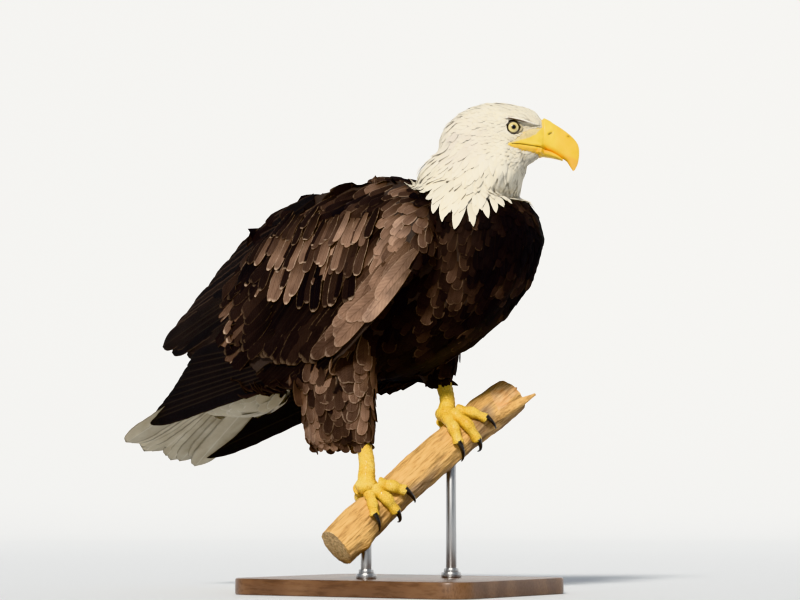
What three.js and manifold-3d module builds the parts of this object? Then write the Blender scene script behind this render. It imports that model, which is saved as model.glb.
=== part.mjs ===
// Bald eagle, life size, leaning forward on a cut length of branch held by a display stand.
// Millimetres. +X is the bird's forward, +Y its left, +Z up.
// The origin is the middle of the underside of the stand's base.
import * as THREE from 'three';
import { mergeVertices } from 'three/addons/utils/BufferGeometryUtils.js';
import Module from 'manifold-3d';

const wasm = await Module();
wasm.setup();

// ---------------------------------------------------------------- driving sizes (mm)
const GAP = 0.4;
const BASE_LENGTH = 340;
const BASE_WIDTH = 270;
const BASE_HEIGHT = 20;
const BASE_CORNER = 34;
const ROD_RADIUS = 6.5;
const ROD_SPOTS = [-92, 62];
const PERCH_MIDDLE = new THREE.Vector3(25, 0, 149);
const PERCH_ALONG = new THREE.Vector3(0.3503, 0.7164, 0.6034).normalize();
const PERCH_RADIUS = 23.5;
const PERCH_ENDS = [-146, 172];
const HEAD_ORIGIN = new THREE.Vector3(154, 19.6, 569.5);
const HEAD_TURN = 33;
const EYE_FORE = -2.5;
const EYE_UP = -2;
const EYE_SIDE = 22.5;
const EYE_RADIUS = 9.6;
const TAIL_ROOT = new THREE.Vector3(-180, 0, 312);
const TAIL_SLOPE = 32.6;
const TAIL_ROLL = 17;
const TAIL_LENGTH = 252;
const TAIL_FEATHERS = 12;
const TAIL_SPREAD = 10.5;
const FEATHER_THICK = 1.6;
const TOE_RADIUS = 7.6;
const SEGMENTS = 14;

// trunk stations along the spine: x, z, half width, height above, depth below
const TRUNK = [
  [-222, 291, 34, 22, 30],
  [-190, 312, 50, 48, 54],
  [-150, 334, 68, 86, 84],
  [-95, 360, 86, 117, 112],
  [-30, 388, 100, 126, 132],
  [38, 420, 104, 120, 134],
  [88, 454, 98, 84, 127],
  [104, 478, 88, 68, 104],
  [112, 500, 72, 57, 67],
];
// neck stations up into the head: x, y, z, half length fore and aft, half width
const NECK = [
  [106, -4, 474, 60, 70],
  [109, -6, 500, 75, 62],
  [107, -9, 520, 72, 54],
  [110, -7, 540, 67, 46],
  [118, -2, 558, 53, 36],
  [128, 4, 572, 30, 22],
];
// head stations in the head's own frame: forward, top, bottom, half width
const HEAD = [
  [-93, -12, -48, 14],
  [-81, 8, -57, 28],
  [-63, 22.5, -62, 36],
  [-44, 31, -64, 39],
  [-24, 34, -62, 36],
  [-6, 32.5, -57, 31.5],
  [10, 29.5, -50, 27],
  [22, 25.5, -43, 22],
  [30, 20.5, -37.5, 19],
  [35, 13.5, -33, 15],
];
// upper bill: culmen forward and up, cutting edge forward and up, half width
const BILL_UPPER = [
  [24, 15, 18, -21.5, 14.5],
  [37, 13.4, 31, -23.5, 13.8],
  [52.2, 5.2, 43, -27, 12],
  [65, -3.6, 53, -32, 10.2],
  [74.6, -12.4, 60, -36.5, 8.4],
  [79.6, -21, 64.5, -39.8, 6.8],
  [80.4, -31, 67, -43.3, 5],
  [78.6, -42.4, 69.8, -47.8, 3],
  [74.8, -50.4, 72.4, -51.6, 1.1],
];
// lower bill: forward, top, bottom, half width
const BILL_LOWER = [
  [0, -24, -29, 12],
  [14, -23.2, -31.5, 14],
  [30, -24.2, -33.6, 12.6],
  [44, -27.6, -35.4, 10.4],
  [54, -32.6, -37.6, 7.4],
  [60, -36.6, -39.4, 3.4],
];
// folded wing stations: x, top y, top z, bottom y, bottom z, bulge, thickness
const WING = [
  [115, 102, 436, 114, 400, 5, 12],
  [109, 98, 456, 124, 386, 12, 22],
  [95, 92, 479, 129, 371, 21, 30],
  [72, 82, 496, 129, 350, 27, 34],
  [42, 70, 507, 125, 325, 31, 34],
  [2, 57, 512, 120, 292, 34, 32],
  [-40, 48, 510, 113, 269, 35, 30],
  [-100, 41, 501, 99, 256, 33, 24],
  [-158, 34, 486, 84, 248, 27, 18],
  [-205, 29, 461, 73, 262, 20, 13],
  [-248, 27, 426, 62, 288, 13, 8],
  [-282, 31, 389, 58, 312, 7, 5],
];
// tips of the seven inner flight feathers: x, y, z
const INNER_TIPS = [
  [-247, 24, 431],
  [-277, 28, 400],
  [-306, 34, 366],
  [-330, 41, 336],
  [-342, 46, 320],
  [-322, 51, 311],
  [-298, 55, 304],
];
// tips of the five visible long outer flight feathers: x, y, z
const OUTER_TIPS = [
  [-352, 61, 218],
  [-329, 62, 238],
  [-309, 62, 258],
  [-293, 61, 278],
  [-279, 60, 297],
];

// ---------------------------------------------------------------- small tools
const vec = (x, y, z) => new THREE.Vector3(x, y, z);
const lerp = (a, b, t) => a + (b - a) * t;
const toRad = (deg) => (deg * Math.PI) / 180;

// smooth row of a station table at t from 0 to 1
function station(table, t) {
  const last = table.length - 1;
  const f = Math.min(Math.max(t, 0), 1) * last;
  const i = Math.min(Math.floor(f), last - 1);
  const u = f - i;
  const a = table[Math.max(i - 1, 0)];
  const b = table[i];
  const c = table[i + 1];
  const d = table[Math.min(i + 2, last)];
  return b.map((_, k) => {
    const m0 = (c[k] - a[k]) / 2;
    const m1 = (d[k] - b[k]) / 2;
    const u2 = u * u;
    const u3 = u2 * u;
    return (2 * u3 - 3 * u2 + 1) * b[k] + (u3 - 2 * u2 + u) * m0
      + (-2 * u3 + 3 * u2) * c[k] + (u3 - u2) * m1;
  });
}

// closed solid through rings of equal size, each end capped to its middle,
// or straight across from side to side where the ring is a thin bent strip
function loft(rings, strip = false) {
  const count = rings[0].length;
  const positions = [];
  const index = [];
  for (const ring of rings) {
    for (const p of ring) positions.push(p.x, p.y, p.z);
  }
  for (let r = 0; r < rings.length - 1; r += 1) {
    for (let k = 0; k < count; k += 1) {
      const a = r * count + k;
      const b = r * count + ((k + 1) % count);
      index.push(a, b, b + count, a, b + count, a + count);
    }
  }
  const ends = [rings[0], rings[rings.length - 1]];
  ends.forEach((ring, side) => {
    if (strip) {
      const first = side === 0 ? 0 : (rings.length - 1) * count;
      for (let k = 0; k < count / 2 - 1; k += 1) {
        const [a, b, c, d] = [k, k + 1, count - 2 - k, count - 1 - k].map((v) => v + first);
        if (side === 0) index.push(b, a, d, c, b, d);
        else index.push(a, b, d, b, c, d);
      }
      return;
    }
    const middle = ring.reduce((s, p) => s.add(p), vec(0, 0, 0)).divideScalar(count);
    positions.push(middle.x, middle.y, middle.z);
    const centre = positions.length / 3 - 1;
    const start = side === 0 ? 0 : (rings.length - 1) * count;
    for (let k = 0; k < count; k += 1) {
      const a = start + k;
      const b = start + ((k + 1) % count);
      if (side === 0) index.push(centre, b, a);
      else index.push(centre, a, b);
    }
  });
  const geometry = new THREE.BufferGeometry();
  geometry.setAttribute('position', new THREE.Float32BufferAttribute(positions, 3));
  geometry.setIndex(index);
  return outward(geometry);
}

// turn every face outward when the solid came out inside out
function outward(geometry) {
  const p = geometry.getAttribute('position');
  const index = Array.from(geometry.index.array);
  const a = vec(0, 0, 0);
  const b = vec(0, 0, 0);
  const c = vec(0, 0, 0);
  let volume = 0;
  for (let i = 0; i < index.length; i += 3) {
    a.fromBufferAttribute(p, index[i]);
    b.fromBufferAttribute(p, index[i + 1]);
    c.fromBufferAttribute(p, index[i + 2]);
    volume += a.dot(b.cross(c)) / 6;
  }
  if (volume < 0) {
    for (let i = 0; i < index.length; i += 3) {
      const keep = index[i + 1];
      index[i + 1] = index[i + 2];
      index[i + 2] = keep;
    }
    geometry.setIndex(index);
  }
  return geometry;
}

function solid(geometry) {
  const bare = geometry.clone();
  bare.deleteAttribute('normal');
  bare.deleteAttribute('uv');
  const welded = mergeVertices(bare, 1e-4);
  const mesh = new wasm.Mesh({
    numProp: 3,
    vertProperties: new Float32Array(welded.getAttribute('position').array),
    triVerts: new Uint32Array(welded.index.array),
  });
  return new wasm.Manifold(mesh);
}

function toGeometry(body) {
  const mesh = body.getMesh();
  const geometry = new THREE.BufferGeometry();
  geometry.setAttribute('position', new THREE.BufferAttribute(mesh.vertProperties, 3));
  geometry.setIndex(new THREE.BufferAttribute(mesh.triVerts, 1));
  return geometry;
}

const join = (parts) => parts.reduce((a, b) => a.add(b));

// ring round a middle: side and up axes, half width, height above, depth below
function ovalRing(middle, side, up, wide, above, below, count = SEGMENTS, power = 1) {
  const ring = [];
  for (let k = 0; k < count; k += 1) {
    const a = (2 * Math.PI * k) / count;
    const s = Math.sin(a);
    const c = Math.cos(a);
    const high = s > 0 ? above : below;
    const lift = Math.sign(s) * Math.abs(s) ** power;
    const out = Math.sign(c) * Math.abs(c) ** power;
    ring.push(middle.clone().addScaledVector(side, wide * out).addScaledVector(up, high * lift));
  }
  return ring;
}

// ---------------------------------------------------------------- trunk, neck, head
function trunkSolid(grow) {
  const rings = [];
  const steps = 13;
  for (let i = 0; i <= steps; i += 1) {
    const t = i / steps;
    const row = station(TRUNK, t);
    const before = station(TRUNK, t - 0.02);
    const after = station(TRUNK, t + 0.02);
    const tangent = vec(after[0] - before[0], 0, after[1] - before[1]).normalize();
    const up = vec(-tangent.z, 0, tangent.x);
    const middle = vec(row[0], 0, row[1]);
    const [wide, above, below] = row.slice(2).map((v) => v + grow);
    rings.push(ovalRing(middle, vec(0, 1, 0), up, wide, above, below));
  }
  return solid(loft(rings));
}

const headForward = vec(Math.cos(toRad(HEAD_TURN)), Math.sin(toRad(HEAD_TURN)), 0);
const headLeft = vec(-headForward.y, headForward.x, 0);
const headPoint = (f, l, u) => HEAD_ORIGIN.clone()
  .addScaledVector(headForward, f).addScaledVector(headLeft, l).add(vec(0, 0, u));

function neckSolid(grow) {
  const rings = [];
  const steps = 7;
  for (let i = 0; i <= steps; i += 1) {
    const [x, y, z, long, wide] = station(NECK, i / steps);
    const turn = toRad(lerp(4, HEAD_TURN, i / steps));
    const fore = vec(Math.cos(turn), Math.sin(turn), 0.28).normalize();
    const side = vec(-Math.sin(turn), Math.cos(turn), 0);
    rings.push(ovalRing(vec(x, y, z), side, fore, wide + grow, long + grow, long + grow));
  }
  return solid(loft(rings));
}

function headSolid() {
  const rings = [];
  const steps = 10;
  for (let i = 0; i <= steps; i += 1) {
    const [f, top, bottom, wide] = station(HEAD, i / steps);
    const middle = headPoint(f, 0, (top + bottom) / 2);
    const high = (top - bottom) / 2;
    rings.push(ovalRing(middle, headLeft, vec(0, 0, 1), wide, high, high, SEGMENTS, 0.92));
  }
  const skull = solid(loft(rings));
  const brows = [-1, 1].map((side) => {
    const bar = new THREE.SphereGeometry(1, 8, 5);
    bar.scale(19, 6.5, 4.6);
    bar.rotateY(toRad(14));
    bar.rotateZ(toRad(-side * 13));
    bar.translate(4, side * 25.5, 9.6);
    return solid(bar);
  });
  const cheeks = [-1, 1].map((side) => {
    const scoop = new THREE.SphereGeometry(1, 8, 5);
    scoop.scale(18, 5, 9);
    scoop.rotateZ(toRad(-side * 16));
    scoop.translate(7, side * 31, -4);
    return solid(scoop);
  });
  const frame = new THREE.Matrix4().makeBasis(headForward, headLeft, vec(0, 0, 1));
  frame.setPosition(HEAD_ORIGIN);
  const local = join(brows);
  const placed = solid(toGeometry(local).applyMatrix4(frame));
  const scoops = solid(toGeometry(join(cheeks)).applyMatrix4(frame));
  return skull.subtract(scoops).add(placed);
}

function billUpper(grow) {
  const rings = [];
  const steps = 10;
  for (let i = 0; i <= steps; i += 1) {
    const row = station(BILL_UPPER, i / steps);
    const ridge = headPoint(row[0], 0, row[1]);
    const edge = headPoint(row[2], 0, row[3]);
    const middle = edge.clone().lerp(ridge, 0.36);
    const up = ridge.clone().sub(edge).normalize();
    const high = ridge.distanceTo(edge);
    const wide = row[4] + grow;
    rings.push(ovalRing(middle, headLeft, up, wide, high * 0.64 + grow, high * 0.36 + grow, 12, 0.94));
  }
  return solid(loft(rings));
}

function billLower(grow) {
  const rings = [];
  const steps = 6;
  for (let i = 0; i <= steps; i += 1) {
    const [f, top, bottom, wide] = station(BILL_LOWER, i / steps);
    const middle = headPoint(f, 0, lerp(bottom, top, 0.7));
    const high = top - bottom;
    rings.push(ovalRing(middle, headLeft, vec(0, 0, 1), wide + grow, high * 0.3 + grow, high * 0.7 + grow, 10, 0.9));
  }
  return solid(loft(rings));
}

function eyeball(side, grow) {
  const ball = new THREE.SphereGeometry(EYE_RADIUS + grow, 10, 6);
  const middle = headPoint(EYE_FORE, side * EYE_SIDE, EYE_UP);
  ball.translate(middle.x, middle.y, middle.z);
  return solid(ball);
}

// half space below (or above) a tilted cut through a point
function slab(point, normal, far, near) {
  const size = 1400;
  const box = new THREE.BoxGeometry(size, size, far);
  const turn = new THREE.Quaternion().setFromUnitVectors(vec(0, 0, 1), normal);
  box.translate(0, 0, near + far / 2);
  box.applyQuaternion(turn);
  box.translate(point.x, point.y, point.z);
  return solid(box);
}

// ---------------------------------------------------------------- feathers and wings
// one flight feather: root, tip, half width, axis across the blade, sag of the shaft
function blade(root, tip, half, across, sag, grow, blunt = 0.5) {
  const along = tip.clone().sub(root);
  const long = along.length();
  along.normalize();
  const side = across.clone().addScaledVector(along, -across.dot(along)).normalize();
  const face = along.clone().cross(side).normalize();
  const spots = [0, 0.45, 0.9, 1];
  const widths = [0.55, 0.94, 0.82, 0.16 + blunt * 0.2];
  const rings = spots.map((s, i) => {
    const middle = root.clone().addScaledVector(along, s * long + (s === 1 ? grow : 0));
    middle.addScaledVector(face, sag * 4 * s * (1 - s));
    const w = half * widths[i] + grow;
    const h = FEATHER_THICK / 2 + grow;
    return [
      middle.clone().addScaledVector(side, w).addScaledVector(face, -h * 0.4),
      middle.clone().addScaledVector(face, h),
      middle.clone().addScaledVector(side, -w).addScaledVector(face, -h * 0.4),
      middle.clone().addScaledVector(face, -h * 1.1),
    ];
  });
  return solid(loft(rings));
}

function wingShell(side, grow) {
  const rings = [];
  const steps = 13;
  const spots = 5;
  for (let i = 0; i <= steps; i += 1) {
    const [x, ty, tz, by, bz, bulge, thick] = station(WING, i / steps);
    const chord = vec(0, -(by - ty), bz - tz).normalize();
    const out = vec(0, chord.z, -chord.y);
    const outer = [];
    const inner = [];
    const front = i === 0 ? grow : 0;
    const reach = i === steps ? -grow : front;
    for (let q = 0; q <= spots; q += 1) {
      const u = q / spots;
      const arch = (4 * u * (1 - u)) ** 0.75;
      const p = vec(x + reach, -lerp(ty, by, u), lerp(tz, bz, u));
      p.addScaledVector(out, bulge * arch + grow).addScaledVector(chord, (2 * u - 1) * grow);
      const t = lerp(3, thick, Math.sqrt(arch)) + 2 * grow;
      outer.push(p);
      inner.unshift(p.clone().addScaledVector(out, -t));
    }
    const ring = outer.concat(inner);
    rings.push(ring.map((p) => vec(p.x, -side * p.y, p.z)));
  }
  return solid(loft(rings, true));
}

// distance from the middle plane to the middle of the wing's shell at x and z
function shellDepth(x, z) {
  let low = 0;
  let high = 1;
  for (let i = 0; i < 30; i += 1) {
    const half = (low + high) / 2;
    if (station(WING, half)[0] > x) low = half;
    else high = half;
  }
  const [, ty, tz, by, bz, bulge, thick] = station(WING, low);
  const u = Math.min(Math.max((tz - z) / (tz - bz), 0.06), 0.94);
  return lerp(ty, by, u) + (4 * u * (1 - u)) ** 0.75 * bulge * 0.95 - thick * 0.35;
}

function innerFeathers(side, grow) {
  return join(INNER_TIPS.map(([x, y, z], i) => {
    const last = INNER_TIPS.length - 1;
    const fall = lerp(0.52, 0.44, i / last);
    const tip = vec(x, side * y, z - lerp(10, 2, i / last));
    const from = vec(x + 120, 0, z - lerp(10, 0, i / last) + 120 * fall - 6);
    const root = vec(from.x, side * shellDepth(from.x, from.z), from.z);
    const across = vec(-fall, -side * 0.35, 1);
    return blade(root, tip, 19, across, side * 2, grow);
  }));
}

function outerFeathers(side, droop, grow) {
  return join(OUTER_TIPS.map(([x, y, z], i) => {
    const drop = droop * (1 - i / 10);
    const tip = vec(x, side * y, z - drop);
    const root = vec(-95 + i * 7, side * (97 - i * 2), 278 + i * 10);
    const across = vec(0, -side * 0.16, 1);
    return blade(root, tip, 18 - i * 0.4, across, side * 4, grow, 0.1);
  }));
}

// ---------------------------------------------------------------- tail
const tailBack = vec(-Math.cos(toRad(TAIL_SLOPE)), 0, -Math.sin(toRad(TAIL_SLOPE)));
const tailUp = vec(-Math.sin(toRad(TAIL_SLOPE)), 0, Math.cos(toRad(TAIL_SLOPE)));
const tailSide = vec(0, 1, 0).applyAxisAngle(tailBack, toRad(TAIL_ROLL));
const tailFace = tailUp.clone().applyAxisAngle(tailBack, toRad(TAIL_ROLL));

// point on the tail's surface: k from -1 to 1 across, s from 0 to 1 back, lift off the surface
function tailPoint(k, s, lift) {
  const angle = toRad(k * TAIL_SPREAD);
  const long = TAIL_LENGTH * (1 - 0.06 * k * k) * s;
  return TAIL_ROOT.clone()
    .addScaledVector(tailSide, k * (18 + 17 * Math.min(1, 3 * s)) + long * Math.sin(angle))
    .addScaledVector(tailBack, long * Math.cos(angle))
    .addScaledVector(tailFace, -(4 + 5 * s) * k * k + lift);
}

function tailFan(grow) {
  const rings = [];
  const spots = TAIL_FEATHERS * 2;
  [0.1, 0.5, 1].forEach((s) => {
    const above = [];
    const below = [];
    for (let j = 0; j <= spots; j += 1) {
      const k = (2 * j) / spots - 1;
      const seam = j % 2 === 0 ? 1 : 0;
      const reach = s === 1 ? 1 - 0.045 * seam : s;
      const thick = FEATHER_THICK * (1 - 0.35 * seam);
      const edge = k * (1 + grow / 40);
      above.push(tailPoint(edge, reach + grow / TAIL_LENGTH, thick + grow));
      below.unshift(tailPoint(edge, reach + grow / TAIL_LENGTH, -thick * 0.4 - grow));
    }
    rings.push(above.concat(below));
  });
  return solid(loft(rings, true));
}

// tail coverts: distance back, half width, height above, depth below
const TAIL_COVERTS = [
  [-14, 44, 30, 62],
  [14, 46, 26, 70],
  [40, 45, 19, 64],
  [66, 42, 12, 48],
  [92, 36, 7, 28],
  [112, 26, 4, 12],
];

function tailCoverts(grow) {
  const rings = [];
  const steps = 6;
  for (let i = 0; i <= steps; i += 1) {
    const [s, wide, above, below] = station(TAIL_COVERTS, i / steps);
    const reach = i === steps ? grow : 0;
    const middle = vec(-205, 0, 298).addScaledVector(tailBack, s + reach);
    rings.push(ovalRing(middle, tailSide, tailFace, wide + grow, above + grow, below + grow, 12));
  }
  return solid(loft(rings));
}

// ---------------------------------------------------------------- perch and stand
const perchUp = vec(0, 0, 1).addScaledVector(PERCH_ALONG, -PERCH_ALONG.z).normalize();
const perchFore = PERCH_ALONG.clone().cross(perchUp).normalize();
const perchAxis = (s) => PERCH_MIDDLE.clone().addScaledVector(PERCH_ALONG, s)
  .addScaledVector(perchUp, -4 * (s / 150) * (s / 150));
// point beside the perch: distance along, angle from its top toward the front, distance out
const perchPoint = (s, angle, out) => perchAxis(s)
  .addScaledVector(perchUp, out * Math.cos(toRad(angle)))
  .addScaledVector(perchFore, out * Math.sin(toRad(angle)));

function perchSolid(grow) {
  const rings = [];
  const steps = 8;
  for (let i = 0; i <= steps; i += 1) {
    const s = lerp(PERCH_ENDS[0], PERCH_ENDS[1], i / steps);
    const swell = 1 + 0.035 * Math.sin(i * 1.9) + 0.03 * Math.cos(i * 0.9);
    const r = PERCH_RADIUS * swell + grow;
    rings.push(ovalRing(perchAxis(s), perchFore, perchUp, r, r * 0.98, r, 12));
  }
  const stick = solid(loft(rings));
  const spur = [];
  const foot = perchPoint(112, 118, 8);
  const reach = vec(0.72, 0.28, 0.42).normalize();
  const high = vec(0, 0, 1).addScaledVector(reach, -reach.z).normalize();
  const wide = reach.clone().cross(high);
  for (let i = 0; i <= 4; i += 1) {
    const r = [9.5, 8.4, 7, 5, 1.6][i] + grow;
    spur.push(ovalRing(foot.clone().addScaledVector(reach, i * 19), wide, high, r, r, r, 8));
  }
  return stick.add(solid(loft(spur)));
}

function standBase() {
  const shape = new THREE.Shape();
  const a = BASE_LENGTH / 2;
  const b = BASE_WIDTH / 2;
  const c = BASE_CORNER;
  shape.moveTo(-a + c, -b);
  shape.lineTo(a - c, -b);
  shape.absarc(a - c, -b + c, c, -Math.PI / 2, 0);
  shape.lineTo(a, b - c);
  shape.absarc(a - c, b - c, c, 0, Math.PI / 2);
  shape.lineTo(-a + c, b);
  shape.absarc(-a + c, b - c, c, Math.PI / 2, Math.PI);
  shape.lineTo(-a, -b + c);
  shape.absarc(-a + c, -b + c, c, Math.PI, 1.5 * Math.PI);
  const plate = new THREE.ExtrudeGeometry(shape, {
    depth: BASE_HEIGHT - 4,
    bevelEnabled: true,
    bevelThickness: 2,
    bevelSize: 2,
    bevelSegments: 1,
    curveSegments: 3,
  });
  plate.translate(0, 0, 2);
  return solid(plate);
}

function standRod(s) {
  const top = perchAxis(s);
  const high = top.z - BASE_HEIGHT - GAP;
  const rod = new THREE.CylinderGeometry(ROD_RADIUS, ROD_RADIUS, high, 12);
  rod.rotateX(Math.PI / 2);
  rod.translate(top.x, top.y, BASE_HEIGHT + GAP + high / 2);
  return solid(rod);
}

// ---------------------------------------------------------------- legs
// smooth limb through stations: x, y, z, radius
function limb(table, steps, count, grow) {
  const rings = [];
  for (let i = 0; i <= steps; i += 1) {
    const t = i / steps;
    const row = station(table, t);
    const a = station(table, t - 0.02);
    const b = station(table, t + 0.02);
    const along = vec(b[0] - a[0], b[1] - a[1], b[2] - a[2]).normalize();
    const side = vec(0, 1, 0).addScaledVector(along, -along.y).normalize();
    const fore = side.clone().cross(along).normalize();
    const r = row[3] + grow;
    rings.push(ovalRing(vec(row[0], row[1], row[2]), fore, side, r * (row[4] || 1), r, r, count));
  }
  return solid(loft(rings));
}

const LEGS = {
  right: {
    side: -1,
    foot: -68,
    grip: 4,
    thigh: [
      [-40, -56, 350, 52, 1.15],
      [-46, -66, 302, 49, 1.16],
      [-48, -68, 262, 44, 1.2],
      [-47, -67, 230, 38, 1.35],
      [-45, -65, 202, 31, 1.65],
      [-44, -64, 180, 20, 2.2],
    ],
    tarsus: [
      [-34, -65, 222, 12],
      [-17, -64, 192, 10.2],
      [-8, -63, 166, 9.6],
    ],
  },
  left: {
    side: 1,
    foot: 83,
    grip: -14,
    thigh: [
      [0, 56, 352, 52, 1.2],
      [3, 62, 318, 43, 1.15],
      [12, 62, 290, 32, 1.1],
      [18, 61, 271, 24, 1.05],
      [24, 60, 259, 15, 1.05],
    ],
    tarsus: [
      [6, 61, 290, 12],
      [25, 60, 264, 10.4],
      [35, 55, 242, 9.6],
    ],
  },
};

// toes by number: spread along the perch at root and tip, wrap start and end, radius, claw length
const TOES = {
  1: [0, 2, -34, -92, 1.08, 40],
  2: [-9, -27, 26, 82, 1.0, 36],
  3: [0, -2, 28, 106, 0.96, 33],
  4: [9, 25, 26, 78, 0.88, 29],
};

function toeTable(leg, number) {
  const [rootShift, tipShift, from, to, scale] = TOES[number];
  const turn = leg.side < 0 ? 1 : -1;
  const rows = [];
  const steps = 6;
  for (let i = 0; i <= steps; i += 1) {
    const u = i / steps;
    const along = leg.foot + turn * -lerp(rootShift, tipShift, u);
    const wrap = leg.grip * (1 - u) + lerp(from, to, u);
    const pad = 1 + 0.1 * Math.cos(u * 4 * Math.PI);
    const r = TOE_RADIUS * scale * lerp(1.12, 0.84, u) * pad;
    const p = perchPoint(along, wrap, PERCH_RADIUS + r * 0.86);
    rows.push([p.x, p.y, p.z, r]);
  }
  return rows;
}

function toeSolid(leg, number, grow) {
  return limb(toeTable(leg, number), 5, 6, grow);
}

function clawSolid(leg, number, grow) {
  const [rootShift, tipShift, , to, scale, long] = TOES[number];
  const turn = leg.side < 0 ? 1 : -1;
  const sign = number === 1 ? -1 : 1;
  const spread = (tipShift - rootShift) * 0.35;
  const rows = [];
  for (let i = 0; i <= 6; i += 1) {
    const u = i / 6;
    const along = leg.foot + turn * -(tipShift + spread * u);
    const wrap = to + sign * (u * long * 1.5 - 4);
    const r = lerp(4.9 * scale, 0.7, u ** 0.8);
    const lift = 6.6 + 5.5 * Math.sin(Math.PI * (0.12 + 0.62 * u)) - 5.6 * u;
    const p = perchPoint(along, wrap, PERCH_RADIUS + lift);
    rows.push([p.x, p.y, p.z, r]);
  }
  return limb(rows, 5, 5, grow);
}

function tarsusSolid(leg, grow) {
  const palm = perchPoint(leg.foot, leg.grip, PERCH_RADIUS + 9);
  const ankle = leg.tarsus[leg.tarsus.length - 1];
  const shank = limb([...leg.tarsus, [
    lerp(ankle[0], palm.x, 0.75), lerp(ankle[1], palm.y, 0.75), lerp(ankle[2], palm.z, 0.75), 11,
  ]], 4, 7, grow);
  const pad = new THREE.SphereGeometry(1, 8, 6);
  pad.scale(14.5 + grow, 14 + grow, 11 + grow);
  pad.translate(palm.x, palm.y, palm.z);
  return shank.add(solid(pad));
}

// ---------------------------------------------------------------- put the solids together
const nodes = {};

const perch = perchSolid(0);
const perchRoom = perchSolid(GAP);
nodes.perch = perch;
nodes.stand_base = standBase();
nodes.stand_rod_low = standRod(ROD_SPOTS[0]).subtract(perchRoom);
nodes.stand_rod_high = standRod(ROD_SPOTS[1]).subtract(perchRoom);

const trunkRoom = trunkSolid(GAP);
let body = trunkSolid(0).add(neckSolid(0)).add(headSolid());
body = body.subtract(billUpper(GAP)).subtract(billLower(GAP));
body = body.subtract(eyeball(-1, GAP)).subtract(eyeball(1, GAP));

// the white neck parts from the dark trunk on a cut low in front, high behind
const collar = vec(112, 0, 480);
const collarUp = vec(0.4, 0.05, 0.915).normalize();
const collarAbove = slab(collar, collarUp, 600, GAP / 2);
const collarBelow = slab(collar, collarUp.clone().negate(), 600, GAP / 2);
const crownCut = headPoint(-34, 0, -34);
const crownUp = headForward.clone().multiplyScalar(0.42).add(vec(0, 0, 0.91)).normalize();
const crownAbove = slab(crownCut, crownUp, 600, GAP / 2);
const crownBelow = slab(crownCut, crownUp.clone().negate(), 600, GAP / 2);
nodes.head = body.intersect(collarAbove).intersect(crownAbove);
nodes.neck = body.intersect(collarAbove).intersect(crownBelow);

nodes.bill_upper = billUpper(0).subtract(billLower(GAP));
nodes.bill_lower = billLower(0);
nodes.eye_right = eyeball(-1, 0);
nodes.eye_left = eyeball(1, 0);

const covertRoom = tailCoverts(GAP);
nodes.tail_coverts = tailCoverts(0).subtract(trunkRoom);
const legRooms = [];
for (const [name, leg] of Object.entries(LEGS)) {
  const tarsusRoom = tarsusSolid(leg, GAP);
  nodes[`thigh_${name}`] = limb(leg.thigh, 6, 12, 0).subtract(trunkRoom).subtract(tarsusRoom);
  legRooms.push(limb(leg.thigh, 6, 12, GAP));
  nodes[`tarsus_${name}`] = tarsusSolid(leg, 0).subtract(perchRoom).subtract(trunkRoom);
  const taken = [tarsusRoom, perchRoom];
  for (const number of [3, 2, 4, 1]) {
    const claw = clawSolid(leg, number, 0).subtract(perchRoom);
    const toe = toeSolid(leg, number, 0).subtract(clawSolid(leg, number, GAP));
    nodes[`toe_${number}_${name}`] = taken.reduce((a, b) => a.subtract(b), toe);
    nodes[`claw_${number}_${name}`] = claw;
    taken.push(toeSolid(leg, number, GAP));
  }
}
nodes.trunk = body.intersect(collarBelow);

const tail = tailFan(0).subtract(covertRoom).subtract(trunkRoom);
const tailRoom = tailFan(GAP);
for (const [name, side, droop] of [['right', -1, 0], ['left', 1, 42]]) {
  let shell = wingShell(side, 0).add(innerFeathers(side, 0));
  const room = wingShell(side, 2 * GAP).add(innerFeathers(side, 2 * GAP));
  let outer = outerFeathers(side, droop, 0).subtract(room);
  for (const leg of legRooms) {
    shell = shell.subtract(leg);
    outer = outer.subtract(leg);
  }
  shell = shell.subtract(trunkSolid(4 * GAP)).subtract(neckSolid(4 * GAP)).subtract(covertRoom);
  shell = shell.subtract(body);
  nodes[`wing_${name}`] = shell;
  nodes[`primaries_${name}`] = outer.subtract(trunkRoom).subtract(covertRoom).subtract(tailRoom);
}
nodes.tail = tail;

// keep the largest piece of a node when a cut left crumbs
function tidy(body_) {
  const pieces = body_.decompose();
  pieces.sort((a, b) => b.volume() - a.volume());
  return pieces[0];
}

const COLOURS = {
  head: 0xf4f0e6, neck: 0xf4f0e6, trunk: 0x3a2a22, tail: 0xcfc8b8, tail_coverts: 0xe9e4d8,
  wing: 0x4a372c, primaries: 0x1d1719, thigh: 0x43332a, tarsus: 0xe8b93c, toe: 0xe8b93c,
  claw: 0x17161a, bill: 0xf2b626, eye: 0xe9dd9a, perch: 0xb08a55, stand: 0x5a4636,
};

const group = new THREE.Group();
group.name = 'bald_eagle';
for (const [name, shape] of Object.entries(nodes)) {
  const key = Object.keys(COLOURS).sort((a, b) => b.length - a.length)
    .find((k) => name.startsWith(k));
  const geometry = toGeometry(tidy(shape));
  geometry.computeVertexNormals();
  const material = new THREE.MeshStandardMaterial({ color: COLOURS[key], roughness: 0.8 });
  const mesh = new THREE.Mesh(geometry, material);
  mesh.name = name;
  group.add(mesh);
}

export default group;
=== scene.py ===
# %% [markdown]
# # A bald eagle on a display perch
# The solids of the bird, its perch and its stand are fixed first, and every piece made here is laid on
# or inside them. The body is built the way a museum model is: a skin over the form, then feathers laid
# over the skin in the direction that the real coat lies, then the hard parts: bill, eyes, feet, claws.

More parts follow.
